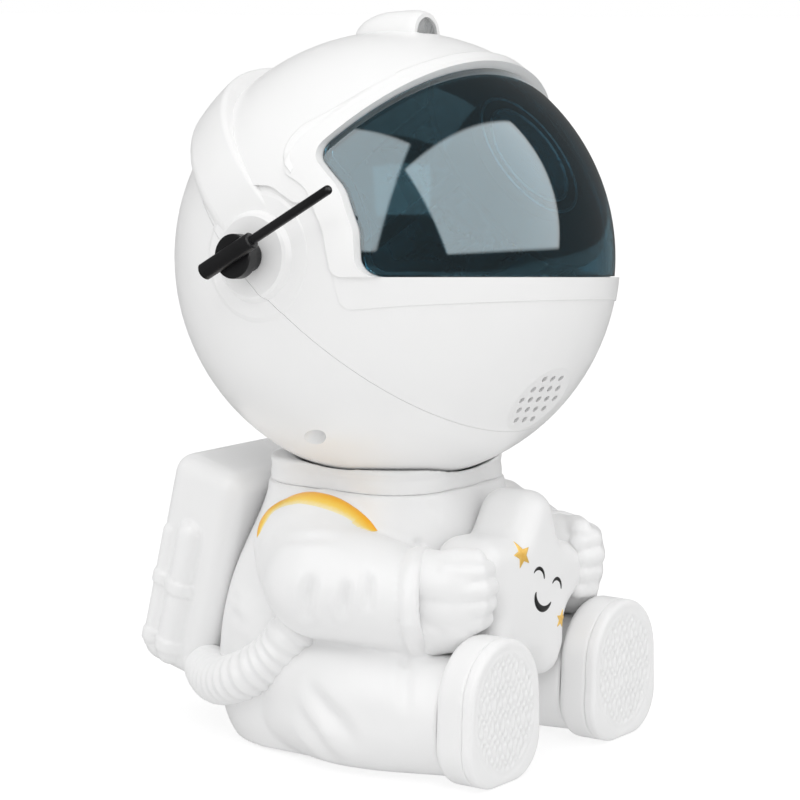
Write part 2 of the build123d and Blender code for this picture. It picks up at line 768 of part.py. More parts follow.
button_names = ["button_left", "button_middle", "button_right"]
stem_at = board_y + board_t + switch_h + button_travel + running_gap
for n, name in zip((-1, 0, 1), button_names):
    with BuildPart(REAR) as button:
        with Locations((n * button_pitch, 4, panel_y - head_wall - 1.6)):
            Cylinder(button_r, head_wall + 2.6, align=UP)
            Cylinder(button_r + 1.0, 1.3, align=UP)
        with Locations((n * button_pitch, 4, stem_at)):
            Cylinder(1.5, panel_y - head_wall - 1.6 - stem_at, align=UP)
        rims = button.edges().filter_by(GeomType.CIRCLE).sort_by(Axis(REAR.origin, REAR.z_dir))
        fillet(rims[-1], 0.6)
    button.part.label = name
    export_step(button.part, f"parts/{name}.step")

with BuildPart() as usb_inlet:
    with BuildSketch(REAR.offset(board_y + board_t)) as can:
        with Locations((0, inlet_z)):
            SlotOverall(inlet_w, inlet_h)
    extrude(can.sketch, amount=panel_y - 0.3 - board_y - board_t)
    with BuildSketch(REAR.offset(panel_y - 0.3)) as mouth:
        with Locations((0, inlet_z)):
            SlotOverall(inlet_w - 0.7, inlet_h - 0.7)
            Rectangle(6.6, 0.7, mode=Mode.SUBTRACT)
    extrude(mouth.sketch, amount=-6.4, mode=Mode.SUBTRACT)
usb_inlet.part.label = "usb_inlet"
export_step(usb_inlet.part, "parts/usb_inlet.step")

with BuildPart() as head_plate:
    with Locations(CROWN_DOWN.offset(plate_at)):
        Cylinder(plate_r, plate_t, align=UP)
head_plate.part.label = "head_plate"
export_step(head_plate.part, "parts/head_plate.step")

for n, (x, y) in enumerate(screw_spots):
    with BuildPart() as screw:
        with Locations(SEAM * Pos(x, y, -screw_seat)):
            Cylinder(screw_well_r - 0.3, 2.0, align=DOWN)
            Cylinder(screw_shank_r, screw_seat + screw_grip - 0.5, align=UP)
        with Locations(SEAM * Pos(x, y, -screw_seat - 2.0)):
            Cylinder(0.9, 1.0, align=UP, mode=Mode.SUBTRACT)
    screw.part.label = f"shell_screw_{n + 1}"
    export_step(screw.part, f"parts/shell_screw_{n + 1}.step")

# ---------------------------------------------------------------- body forms
def limb(points, radii):
    """A round limb: a cone between each two points and a ball at each."""
    ends = [Vector(*p) for p in points]
    for p, q, r, s in zip(ends, ends[1:], radii, radii[1:]):
        run = Plane(origin=p, z_dir=q - p)
        with BuildSketch(run) as start:
            Circle(r)
        with BuildSketch(run.offset((q - p).length)) as stop:
            Circle(s)
        loft([start.sketch, stop.sketch])
    for p, r in zip(ends, radii):
        with Locations(p):
            Sphere(r)


# Torso sections: height, half width, half depth, set-back, corner radius.
torso_sections = [
    (base_z, 41.5, 37.5, 6.0, 30.0),
    (10.0, 45.0, 40.5, 6.5, 33.0),
    (28.0, 45.5, 41.0, 7.0, 34.0),
    (45.0, 43.0, 39.0, 6.0, 32.0),
    (64.0, 36.0, 34.0, 4.0, 27.0),
    (deck_z, 30.4, 30.4, collar_back, 20.0),
]


def torso_form(shrink=0.0):
    sections = []
    for height, half_w, half_d, back, corner in torso_sections:
        with BuildSketch(Plane.XY.offset(height)) as section:
            with Locations((0, back)):
                RectangleRounded(2 * (half_w - shrink), 2 * (half_d - shrink), corner - shrink)
        sections.append(section.sketch)
    loft(sections)


# Leg sections: distance forward, offset from the middle, half width, half height, corner.
leg_sections = [
    (-22.0, 26.0, 17.0, 16.0, 12.0),
    (0.0, 31.0, 20.5, 17.4, 13.0),
    (18.0, 33.2, 20.8, 17.4, 13.0),
    (34.0, 32.2, 18.6, 17.2, 14.5),
    (-foot_y, foot_x, leg_end_r, leg_end_r, leg_end_r - 0.3),
]


def leg_form(side, shrink=0.0):
    """A leg along -Y, splayed from the hip to the boot, flat where it rests."""
    sections = []
    for ahead, out, half_w, half_h, corner in leg_sections:
        plane = Plane(origin=(side * out, -ahead, base_z + half_h), x_dir=(1, 0, 0), z_dir=(0, -1, 0))
        with BuildSketch(plane) as section:
            RectangleRounded(2 * (half_w - shrink), 2 * (half_h - shrink), corner - shrink)
        sections.append(section.sketch)
    loft(sections)


pack_lean_dir = Vector(0, sin(radians(pack_lean)), -cos(radians(pack_lean)))
PACK = Plane(origin=(0, pack_y, pack_z), x_dir=(1, 0, 0), z_dir=-pack_lean_dir)

with BuildPart() as torso_outside:
    torso_form()
with BuildPart() as legs_outside:
    for side in (-1, 1):
        leg_form(side)

with BuildPart() as body_cavity:
    torso_form(torso_wall)
    with Locations((0, 0, well_z - torso_wall)):
        Box(200, 200, 20, align=UP, mode=Mode.SUBTRACT)
    for side in (-1, 1):
        leg_form(side, torso_wall)

with BuildPart() as bed_wall:
    torso_form(torso_wall / 2)
    with Locations(PACK):
        Box(pack_w - 4, pack_d + 2 * torso_wall, pack_h, mode=Mode.INTERSECT)
        Box(pack_w + fit_gap, pack_d + fit_gap, pack_h + fit_gap, mode=Mode.SUBTRACT)

with BuildPart() as body_shell:
    add(torso_outside.part)
    add(legs_outside.part)
    with Locations((0, 0, deck_z)):
        Box(110, 110, 20, align=UP, mode=Mode.SUBTRACT)
    add(body_cavity.part, mode=Mode.SUBTRACT)
    # the backpack's bed in the back, with its own wall
    with Locations(PACK):
        bed = (pack_w + fit_gap, pack_d + fit_gap, pack_h + fit_gap)
        Box(*bed, mode=Mode.SUBTRACT)
    add(bed_wall.part)
    # the well that the neck seat turns in
    with Locations((0, 0, well_z)):
        Cylinder(well_r, 20, align=UP, mode=Mode.SUBTRACT)
    with Locations(*[(x, y, base_z + base_t) for x, y in base_screws]):
        Cylinder(3.6, well_z - base_z - base_t - 1, align=UP)
        Cylinder(base_screw_r, 12, align=UP, mode=Mode.SUBTRACT)
body_shell.part.label = "body_shell"
export_step(body_shell.part, "parts/body_shell.step")

# ---------------------------------------------------------------- neck
with BuildPart() as neck_collar:
    with BuildSketch(Plane.XY.offset(deck_z)):
        with Locations((0, collar_back)):
            RectangleRounded(2 * collar_side, 2 * collar_side, collar_corner)
    extrude(amount=collar_top - deck_z)
    fillet(neck_collar.faces().sort_by(Axis.Z)[-1].edges(), collar_fillet)
    skirt = deck_z - well_z - seat_t - 2 * seat_play
    with Locations((0, 0, deck_z)):
        Cylinder(well_r - running_gap, skirt, align=DOWN)
    with Locations((0, 0, well_z)):
        Cylinder(seat_r + running_gap, 30, align=UP, mode=Mode.SUBTRACT)
    with Locations((0, 0, head_z)):
        Sphere(head_r + 2 * ball_gap, mode=Mode.SUBTRACT)
neck_collar.part.label = "neck_collar"
export_step(neck_collar.part, "parts/neck_collar.step")

magnet_z = well_z + seat_play + 0.8
with BuildPart() as neck_seat:
    with Locations((0, 0, well_z + seat_play)):
        Cylinder(seat_flange_r, seat_t, align=UP)
        Cylinder(seat_r, 14, align=UP)
    with Locations((0, 0, head_z)):
        Sphere(head_r + ball_gap, mode=Mode.SUBTRACT)
    with Locations((0, 0, well_z)):
        Cylinder(magnet_r + fit_gap / 2, magnet_z + magnet_t - well_z, align=UP, mode=Mode.SUBTRACT)
neck_seat.part.label = "neck_seat"
export_step(neck_seat.part, "parts/neck_seat.step")

with BuildPart() as seat_magnet:
    with Locations((0, 0, magnet_z)):
        Cylinder(magnet_r, magnet_t, align=UP)
seat_magnet.part.label = "seat_magnet"
export_step(seat_magnet.part, "parts/seat_magnet.step")

# ---------------------------------------------------------------- arms, star

def star_form(grow):
    """The five-lobed star's outline, grown for the room that the hands leave."""
    with BuildSketch(Plane.XZ.offset(-star_y)) as outline:
        with BuildLine():
            corners = []
            for n in range(10):
                reach = star_point if n % 2 == 0 else star_waist
                corners.append(Vector(reach, 0).rotate(Axis.Z, 90 + 36 * n) + Vector(0, star_z))
            FilletPolyline(*corners, radius=[star_lobe_r, star_notch_r] * 5, close=True)
        make_face()
        if grow:
            offset(amount=grow, mode=Mode.REPLACE)
    extrude(outline.sketch, amount=star_t / 2 + grow, both=True)


with BuildPart() as star_room:
    star_form(fit_gap)

with BuildPart() as collar_room:
    with BuildSketch(Plane.XY.offset(deck_z)):
        with Locations((0, collar_back)):
            RectangleRounded(2 * collar_side + fit_gap, 2 * collar_side + fit_gap, collar_corner)
    extrude(amount=30)
    with Locations((0, 0, head_z)):
        Sphere(head_r + 2.0)

CUFF = Plane(origin=wrist, z_dir=Vector(*hand) - Vector(*wrist))
with BuildPart() as arm_right:
    limb((shoulder, elbow, wrist), (shoulder_r, elbow_r, wrist_r))
    with BuildSketch(CUFF) as beyond:
        Circle(cuff_r * 2)
    extrude(beyond.sketch, amount=30, mode=Mode.SUBTRACT)
    radial_profile(
        CUFF,
        [
            (0, -1),
            (cuff_r - 0.6, -1),
            (cuff_r, -0.4),
            (cuff_r, cuff_length - 2),
            (cuff_r - 1, cuff_length - 1),
            (palm_r + fit_gap, cuff_length - 1),
            (palm_r + fit_gap, cuff_length - 4.2),
            (0, cuff_length - 4.2),
        ],
    )
    add(torso_outside.part, mode=Mode.SUBTRACT)
    add(legs_outside.part, mode=Mode.SUBTRACT)
    add(collar_room.part, mode=Mode.SUBTRACT)
    add(star_room.part, mode=Mode.SUBTRACT)
arm_right.part.label = "arm_right"
export_step(arm_right.part, "parts/arm_right.step")

with BuildPart() as arm_left:
    mirror(arm_right.part, about=Plane.YZ)
arm_left.part.label = "arm_left"
export_step(arm_left.part, "parts/arm_left.step")

PALM = CUFF.offset(cuff_length - 4.1)
with BuildPart() as glove_right:
    limb((tuple(PALM.origin), hand), (palm_r, palm_r - 0.6))
    with BuildSketch(PALM) as behind:
        Circle(cuff_r * 2)
    extrude(behind.sketch, amount=-30, mode=Mode.SUBTRACT)
    for n in range(4):
        z = hand[2] + 8.8 - finger_pitch * n
        limb(
            ((-35.5, -45.0, z), (-31.5, -48.8, z), (-25.0, -49.4, z)),
            (finger_r, finger_r, finger_r - 0.3),
        )
    limb(((-33.0, -37.5, hand[2] + 8.0), (-29.5, -45.0, hand[2] + 9.4)), (3.6, 3.2))
    add(star_room.part, mode=Mode.SUBTRACT)
    add(torso_outside.part, mode=Mode.SUBTRACT)
    add(legs_outside.part, mode=Mode.SUBTRACT)
glove_right.part.label = "glove_right"
export_step(glove_right.part, "parts/glove_right.step")

with BuildPart() as glove_left:
    mirror(glove_right.part, about=Plane.YZ)
glove_left.part.label = "glove_left"
export_step(glove_left.part, "parts/glove_left.step")

# ---------------------------------------------------------------- boots


def boot_outline(side, y):
    """The boot's outline: a round toe above a broader, flatter heel."""
    with BuildSketch(Plane.XZ.offset(-y)) as outline:
        with BuildLine():
            for x, z, r in (
                (0, boot_floor + boot_h - boot_toe_r, boot_toe_r),
                (boot_w / 2 - boot_heel_r - 0.5, boot_floor + boot_heel_r, boot_heel_r),
                (-boot_w / 2 + boot_heel_r + 0.5, boot_floor + boot_heel_r, boot_heel_r),
            ):
                CenterArc((side * foot_x + x, z), r, 0, 360)
        make_hull()
    return outline.sketch


for side, name in ((-1, "right"), (1, "left")):
    with BuildPart() as boot:
        extrude(boot_outline(side, boot_front), amount=boot_front - foot_y)
        fillet(boot.faces().sort_by(Axis.Y)[-1].edges(), boot_round)
        with Locations(Plane(origin=(side * foot_x, foot_y, base_z + leg_end_r), z_dir=(0, 1, 0))):
            Cylinder(leg_end_r - torso_wall - spigot_gap, spigot, align=UP)
    boot.part.label = f"boot_{name}"
    export_step(boot.part, f"parts/boot_{name}.step")

    with BuildPart() as sole:
        extrude(boot_outline(side, boot_front), amount=sole_t)
        fillet(sole.faces().sort_by(Axis.Y)[0].edges(), 1.4)
    sole.part.label = f"sole_{name}"
    export_step(sole.part, f"parts/sole_{name}.step")

with BuildPart() as star:
    star_form(0)
    fillet(star.faces().filter_by(GeomType.PLANE).edges(), 6.5)
    add(legs_outside.part, mode=Mode.SUBTRACT)
    add(torso_outside.part, mode=Mode.SUBTRACT)
    for side in (-1, 1):
        extrude(boot_outline(side, boot_front), amount=boot_front - foot_y, mode=Mode.SUBTRACT)
star.part.label = "star"
export_step(star.part, "parts/star.step")

# ---------------------------------------------------------------- backpack
tank_x = pack_w / 2 - 0.6
with BuildPart() as backpack:
    with Locations(PACK):
        Box(pack_w, pack_d, pack_h)
    fillet(backpack.edges(), pack_fillet)
    for side in (-1, 1):
        with Locations(PACK * Pos(side * tank_x, -2, -2)):
            Cylinder(tank_r, 34)
            with Locations((0, 0, 17), (0, 0, -17)):
                Sphere(tank_r)
            with Locations((0, 0, 9), (0, 0, -9)):
                Cylinder(tank_r + 0.7, 4)
backpack.part.label = "backpack"
export_step(backpack.part, "parts/backpack.step")

hose_points = [
    (hose_inset - pack_w / 2, pack_y - 1.0, pack_z - pack_h / 2 + hose_rise),
    (-37.0, 41.0, 16.0),
    (-47.0, 22.0, 21.5),
    (-45.0, 9.0, 30.0),
    (-43.0, 3.0, 38.0),
]
with BuildPart() as hose:
    with BuildLine() as route:
        FilletPolyline(*hose_points, radius=[7, 14, 9])
    with BuildSketch(Plane(origin=route.wires()[0] @ 0, z_dir=route.wires()[0] % 0)) as bore:
        Circle(hose_r)
    sweep(bore.sketch, path=route.wires()[0])
    for n in range(hose_ribs):
        spot = (n + 0.8) / hose_ribs
        rib = Plane(origin=route.wires()[0] @ spot, z_dir=route.wires()[0] % spot)
        with Locations(rib):
            Cylinder(hose_rib_r, 1.9)
    add(torso_outside.part, mode=Mode.SUBTRACT)
    add(legs_outside.part, mode=Mode.SUBTRACT)
    add(backpack.part, mode=Mode.SUBTRACT)
hose.part.label = "hose"
export_step(hose.part, "parts/hose.step")

# ---------------------------------------------------------------- base
with BuildPart() as base_plate:
    half_w, half_d, back, corner = torso_sections[0][1:]
    with BuildSketch(Plane.XY.offset(base_z)):
        with Locations((0, back)):
            RectangleRounded(
                2 * (half_w - torso_wall - fit_gap),
                2 * (half_d - torso_wall - fit_gap),
                corner - torso_wall - fit_gap,
            )
    extrude(amount=base_t)
    with Locations(*[(x, y, base_z) for x, y in base_screws]):
        Cylinder(base_screw_r + fit_gap, base_t, align=UP, mode=Mode.SUBTRACT)
        Cylinder(2.9, 1.3, align=UP, mode=Mode.SUBTRACT)
    add(legs_outside.part, mode=Mode.SUBTRACT)
base_plate.part.label = "base_plate"
export_step(base_plate.part, "parts/base_plate.step")

with BuildPart() as ballast:
    with BuildSketch(Plane.XY.offset(base_z + base_t)):
        RectangleRounded(18, 32, 4)
    extrude(amount=14)
    chamfer(ballast.faces().sort_by(Axis.Z)[-1].edges(), 1)
ballast.part.label = "ballast"
export_step(ballast.part, "parts/ballast.step")

for n, (x, y) in enumerate(pad_spots):
    with BuildPart() as pad:
        with Locations((x, y, 0)):
            Cylinder(pad_r, base_z, align=UP)
        chamfer(pad.faces().sort_by(Axis.Z)[0].edges(), 0.4)
    pad.part.label = f"foot_pad_{n + 1}"
    export_step(pad.part, f"parts/foot_pad_{n + 1}.step")

for n, (x, y) in enumerate(base_screws):
    with BuildPart() as screw:
        with Locations((x, y, base_z + 0.1)):
            Cylinder(2.6, 1.2, align=UP)
            Cylinder(base_screw_r, base_t + 8, align=UP)
            Cylinder(0.9, 0.7, align=UP, mode=Mode.SUBTRACT)
    screw.part.label = f"base_screw_{n + 1}"
    export_step(screw.part, f"parts/base_screw_{n + 1}.step")
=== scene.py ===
"""The looks of a seated astronaut night-sky projector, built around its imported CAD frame.

Lengths are in millimetres and become metres, through MM, where a mesh is made. The camera,
the lights and the studio are in metres. The figure faces -Y, with its right side at -X.
"""

import json
import math

import bmesh
import bpy
import numpy as np
from mathutils import Matrix, Vector
from mathutils.bvhtree import BVHTree


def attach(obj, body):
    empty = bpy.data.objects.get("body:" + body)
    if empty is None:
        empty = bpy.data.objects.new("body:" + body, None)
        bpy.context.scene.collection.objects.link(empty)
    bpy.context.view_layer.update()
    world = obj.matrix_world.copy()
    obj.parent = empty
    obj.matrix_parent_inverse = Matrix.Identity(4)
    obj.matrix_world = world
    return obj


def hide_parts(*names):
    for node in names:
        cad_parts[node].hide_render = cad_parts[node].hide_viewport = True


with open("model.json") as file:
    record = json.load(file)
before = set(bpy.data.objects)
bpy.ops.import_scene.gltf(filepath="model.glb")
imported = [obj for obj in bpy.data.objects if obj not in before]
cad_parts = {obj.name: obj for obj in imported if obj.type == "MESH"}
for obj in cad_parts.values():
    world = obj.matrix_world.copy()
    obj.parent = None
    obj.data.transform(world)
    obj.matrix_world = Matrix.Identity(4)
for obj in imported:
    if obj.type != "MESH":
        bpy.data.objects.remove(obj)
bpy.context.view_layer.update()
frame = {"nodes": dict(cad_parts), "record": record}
MM = 0.001
HEAD_C = Vector((0, 0, 140.8))  # the centre of the helmet's ball
SIDES = ((-1, "right"), (1, "left"))

# ---------------------------------------------------------------- camera
EYE = Vector((-0.6557, -0.4775, 0.2174))
BACKWARD = Vector((-0.8006, -0.5816, 0.1444))  # from what the camera looks at to the camera
cam_data = bpy.data.cameras.new("camera")
cam_data.lens = 126
cam_data.sensor_width = 36
cam_data.clip_start = 0.01
cam_data.clip_end = 60
cam = bpy.data.objects.new("camera", cam_data)
bpy.context.collection.objects.link(cam)
cam.matrix_world = Matrix.LocRotScale(EYE, BACKWARD.to_track_quat("Z", "Y"), None)
bpy.context.scene.camera = cam
bpy.context.scene.view_settings.view_transform = "Standard"


# ---------------------------------------------------------------- materials
class Nodes:
    """A material's node tree with its principled shader."""

    def __init__(self, name):
        self.mat = bpy.data.materials.new(name)
        self.mat.use_nodes = True
        self.tree = self.mat.node_tree
        self.bsdf = self.tree.nodes["Principled BSDF"]
        self.place = self.add("ShaderNodeTexCoord").outputs["Object"]

    def add(self, kind, **values):
        """A new node, with its properties or its sockets set."""
        node = self.tree.nodes.new(kind)
        for key, value in values.items():
            if hasattr(node, key):
                setattr(node, key, value)
            else:
                node.inputs[key].default_value = value
        return node

    def link(self, a, b):
        self.tree.links.new(a, b)

    def set(self, **values):
        """Set the shader's own sockets; an underscore stands for a space in their names."""
        for key, value in values.items():
            self.bsdf.inputs[key.replace("_", " ")].default_value = value

    def noise(self, scale, detail=3.0):
        node = self.add("ShaderNodeTexNoise", Scale=scale, Detail=detail, Roughness=0.5)
        self.link(self.place, node.inputs["Vector"])
        return node.outputs["Fac"]

    def colour(self, source, stops):
        """Colour the surface by a ramp of (position, colour) stops."""
        node = self.add("ShaderNodeValToRGB")
        ends = node.color_ramp.elements
        while len(ends) < len(stops):
            ends.new(0.5)
        for end, (at, colour) in zip(ends, stops):
            end.position = at
            end.color = (*colour, 1)
        self.link(source, node.inputs["Fac"])
        self.link(node.outputs["Color"], self.bsdf.inputs["Base Color"])

    def mottle(self, scale, low, high):
        """Colour the surface in soft patches between two colours."""
        self.colour(self.noise(scale), [(0.3, low), (0.7, high)])

    def roughness(self, source, low, high):
        """Let the roughness wander between two values."""
        limits = {"From Min": 0.3, "From Max": 0.7, "To Min": low, "To Max": high}
        node = self.add("ShaderNodeMapRange", **limits)
        self.link(source, node.inputs["Value"])
        self.link(node.outputs["Result"], self.bsdf.inputs["Roughness"])

    def bump(self, source, strength, distance, under=None):
        node = self.add("ShaderNodeBump", Strength=strength, Distance=distance)
        self.link(source, node.inputs["Height"])
        if under:
            self.link(under, node.inputs["Normal"])
        self.link(node.outputs["Normal"], self.bsdf.inputs["Normal"])
        return node.outputs["Normal"]


def tint(colour, amount):
    return tuple(min(1.0, max(0.0, c * amount)) for c in colour)


def moulded(name, colour, rough=0.4, depth=0.00002, spread=0.02, **more):
    """Moulded plastic, metal or rubber: mottled tint, uneven gloss and a fine grain."""
    n = Nodes(name)
    n.mottle(60.0, tint(colour, 1 - spread), tint(colour, 1 + spread))
    n.roughness(n.noise(240.0), rough - 0.04, rough + 0.05)
    waves = n.bump(n.noise(160.0), 0.12, depth * 3)
    n.bump(n.noise(1400.0, 2.0), 0.2, depth, waves)
    n.set(**more)
    return n.mat


def smoked(name, colour, clear, rough, **more):
    """Clear or smoked plastic: tinted, with faint waves in its gloss."""
    n = Nodes(name)
    n.mottle(25.0, tint(colour, 0.9), tint(colour, 1.1))
    n.roughness(n.noise(90.0), rough, rough + 0.03)
    n.bump(n.noise(45.0), 0.02, 0.00002)
    n.set(Transmission_Weight=clear, **more)
    return n.mat


def painted(name, stops, **more):
    """Paint laid on in a thin coat, its colour running across the mark."""
    n = Nodes(name)
    run = n.add("ShaderNodeAttribute", attribute_name="across").outputs["Fac"]
    mixed = n.add("ShaderNodeMath", operation="MULTIPLY_ADD")
    mixed.inputs[1].default_value = 0.12  # how far the noise ruffles the run of colour
    n.link(n.noise(900.0, 2.0), mixed.inputs[0])
    n.link(run, mixed.inputs[2])
    n.colour(mixed.outputs[0], stops)
    n.roughness(n.noise(500.0), 0.3, 0.4)
    n.bump(n.noise(1200.0), 0.15, 0.00002)
    n.set(**more)
    return n.mat


MATS = {
    "white_shell": moulded("white_plastic", (0.87, 0.87, 0.868), rough=0.34, spread=0.006),
    "grey_plastic": moulded("grey_plastic", (0.32, 0.33, 0.34), rough=0.45),
    "black_plastic": moulded(
        "black_plastic", (0.012, 0.012, 0.013), rough=0.36, depth=0.00005, spread=0.25
    ),
    "rubber": moulded("rubber", (0.25, 0.25, 0.26), rough=0.7, depth=0.00008, spread=0.1),
    "aluminium": moulded("aluminium", (0.78, 0.79, 0.8), rough=0.3, Metallic=1.0),
    "steel": moulded("steel", (0.6, 0.6, 0.61), rough=0.28, Metallic=1.0),
    "brass": moulded("brass", (0.75, 0.56, 0.26), rough=0.3, Metallic=1.0),
    "iron": moulded("iron", (0.2, 0.2, 0.21), rough=0.5, Metallic=1.0, spread=0.15),
    "circuit_board": moulded("circuit_board", (0.02, 0.17, 0.07), rough=0.4, spread=0.12),
    "smoked_visor": smoked(
        "smoked_visor", (0.13, 0.28, 0.35), 0.97, 0.02, IOR=1.6,
        Coat_Weight=1.0, Coat_Roughness=0.02, Coat_IOR=1.7, Specular_Tint=(0.7, 0.92, 1.0, 1.0),
    ),
    "clear_lens": smoked("clear_lens", (0.9, 0.92, 0.93), 0.8, 0.03, IOR=1.5),
}
suit_white = moulded("suit_white", (0.845, 0.845, 0.845), rough=0.42, spread=0.008, depth=0.00003)
collar_white = moulded("collar_white", (0.84, 0.84, 0.838), spread=0.008)
sole_white = moulded("sole_white", (0.85, 0.85, 0.85), rough=0.5, spread=0.012, depth=0.00005)
stripe_paint = painted(
    "stripe_paint",
    [
        (0.05, (0.86, 0.33, 0.01)),
        (0.4, (0.93, 0.46, 0.01)),
        (0.75, (0.94, 0.64, 0.1)),
        (1.0, (0.9, 0.8, 0.5)),
    ],
)
gold_paint = painted(
    "gold_paint", [(0.0, (0.75, 0.42, 0.06)), (1.0, (0.9, 0.6, 0.16))], Metallic=0.25
)
ink = painted("ink", [(0.0, (0.008, 0.008, 0.008)), (1.0, (0.03, 0.03, 0.03))])

for entry in frame["record"]["subparts"]:
    obj = frame["nodes"][entry["node"]]
    finish = MATS[entry["material_slot"]]
    if entry["node"] == "neck_collar":
        finish = collar_white
    elif entry["material_slot"] == "white_shell" and not entry["node"].startswith("helmet"):
        finish = suit_white
    obj.data.materials.clear()
    obj.data.materials.append(finish)


# ---------------------------------------------------------------- mesh tools
def to_mesh(bm, name):
    """Turn a bmesh into a mesh, and let the bmesh go."""
    mesh = bpy.data.meshes.new(name)
    bm.to_mesh(mesh)
    bm.free()
    return mesh


def new_object(name, mesh, material, body):
    """A visible piece that rides on a body."""
    obj = bpy.data.objects.new(name, mesh)
    bpy.context.collection.objects.link(obj)
    mesh.materials.clear()
    mesh.materials.append(material)
    mesh.polygons.foreach_set("use_smooth", [True] * len(mesh.polygons))
    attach(obj, body)
    return obj


def read_points(mesh):
    points = np.empty(len(mesh.vertices) * 3)
    mesh.vertices.foreach_get("co", points)
    return points.reshape(-1, 3)


def read_normals(mesh):
    normals = np.empty(len(mesh.vertices) * 3)
    mesh.vertices.foreach_get("normal", normals)
    return normals.reshape(-1, 3)


def read_edges(mesh):
    edges = np.empty(len(mesh.edges) * 2, dtype=np.int64)
    mesh.edges.foreach_get("vertices", edges)
    return edges.reshape(-1, 2)


def write_points(mesh, points):
    mesh.vertices.foreach_set("co", points.ravel())
    mesh.update()


def relax(points, edges, rounds, hold=None):
    """Smooth points along their edges without shrinking the form; hold 0 keeps a point still."""
    i, j = edges.T
    count = len(points)
    degree = np.bincount(edges.ravel(), minlength=count)[:, None]
    for _ in range(rounds):
        for factor in (0.5, -0.52):  # in, and a little further out again
            total = np.stack(
                [
                    np.bincount(i, points[j, k], count) + np.bincount(j, points[i, k], count)
                    for k in range(3)
                ],
                1,
            )
            move = (total / degree - points) * factor
            points = points + (move if hold is None else move * hold[:, None])
    return points


def soften(mesh, rounds, hold=None):
    """Relax a mesh in place, and return its points."""
    points = relax(read_points(mesh), read_edges(mesh), rounds, hold)
    write_points(mesh, points)
    return points


def tree_over(mesh, points):
    """A tree to cast rays on, over a mesh with the given points."""
    return BVHTree.FromPolygons(
        [Vector(p) for p in points], [tuple(p.vertices) for p in mesh.polygons]
    )


def mirrored(points, side):
    """The points as they are for side 1, and across the figure for side -1."""
    return [(side * x, y, z) for x, y, z in points]


def drum(bm, place, r0, r1, length, segments):
    """A closed cone or cylinder about the middle of a placed frame's Z."""
    bmesh.ops.create_cone(
        bm, cap_ends=True, segments=segments, radius1=r0 * MM, radius2=r1 * MM,
        depth=length * MM, matrix=place,
    )


def capsule(bm, start, end, r0, r1):
    """A ball at each end and a cone between them."""
    start, end = Vector(start), Vector(end)
    for centre, r in ((start, r0), (end, r1)):
        place = Matrix.Translation(centre * MM)
        bmesh.ops.create_icosphere(bm, subdivisions=3, radius=r * MM, matrix=place)
    run = end - start
    if run.length > 0.01:
        turn = run.to_track_quat("Z", "Y").to_matrix().to_4x4()
        place = Matrix.Translation((start + end) / 2 * MM) @ turn
        drum(bm, place, r0, r1, run.length, 32)


def string(bm, points, radii):
    """Capsules from each point to the next."""
    for n in range(len(points) - 1):
        capsule(bm, points[n], points[n + 1], radii[n], radii[n + 1])


def block(bm, place, size):
    """A box of the given size in a placed frame."""
    scale = Matrix.Diagonal((*(Vector(size) * MM), 1))
    bmesh.ops.create_cube(bm, size=1, matrix=place @ scale)


def skin(name, nodes, voxel, build=None):
    """One closed skin over copies of the nodes' meshes and any forms that build adds."""
    bm = bmesh.new()
    for node in nodes:
        bm.from_mesh(frame["nodes"][node].data)
    bmesh.ops.remove_doubles(bm, verts=bm.verts, dist=1e-6)
    if build:
        build(bm)
    obj = bpy.data.objects.new(name + "_rough", to_mesh(bm, name + "_rough"))
    bpy.context.collection.objects.link(obj)
    remesh = obj.modifiers.new("voxels", "REMESH")
    remesh.mode = "VOXEL"
    remesh.voxel_size = voxel * MM
    graph = bpy.context.evaluated_depsgraph_get()
    mesh = bpy.data.meshes.new_from_object(obj.evaluated_get(graph))
    mesh.name = name
    bpy.data.objects.remove(obj)
    return mesh


def tube(name, rings, closed):
    """A mesh over rings of points: the last ring joins the first, or both ends are capped."""
    bm = bmesh.new()
    rows = [[bm.verts.new(spot) for spot in ring] for ring in rings]
    for a, b in zip(rows, rows[1:] + rows[:1] if closed else rows[1:]):
        for k in range(len(a)):
            after = (k + 1) % len(a)
            bm.faces.new((a[k], a[after], b[after], b[k]))
    if not closed:
        bm.faces.new(rows[0])
        bm.faces.new(rows[-1][::-1])
    bmesh.ops.recalc_face_normals(bm, faces=bm.faces)
    return to_mesh(bm, name)


def distance(points, line):
    """Each point's distance to a polyline, and how far along it the nearest spot is."""
    best = np.full(len(points), 1e9)
    along = np.zeros(len(points))
    steps = len(line) - 1
    for n in range(steps):
        a, b = np.array(line[n]) * MM, np.array(line[n + 1]) * MM
        ab = b - a
        t = np.clip(((points - a) @ ab) / (ab @ ab), 0, 1)
        d = np.linalg.norm(points - a - t[:, None] * ab, axis=1)
        near = d < best
        best[near] = d[near]
        along[near] = (n + t[near]) / steps
    return best, along


def crease(points, normals, line, width, depth, lip=0.25):
    """Press a soft fold into the surface along a line, with a raised lip beside it."""
    d, along = distance(points, line)
    fade = np.sin(along * math.pi) ** 1.3
    s = d / (width * MM)
    push = -np.exp(-(s**2)) + lip * np.exp(-((s - 1.9) ** 2) / 0.8)
    return points + normals * (push * fade * depth * MM)[:, None]


def swell(points, normals, centre, radius, height):
    """Raise a soft bulge about a spot."""
    d = np.linalg.norm(points - np.array(centre) * MM, axis=1) / (radius * MM)
    return points + normals * (np.exp(-(d**2) * 1.6) * height * MM)[:, None]


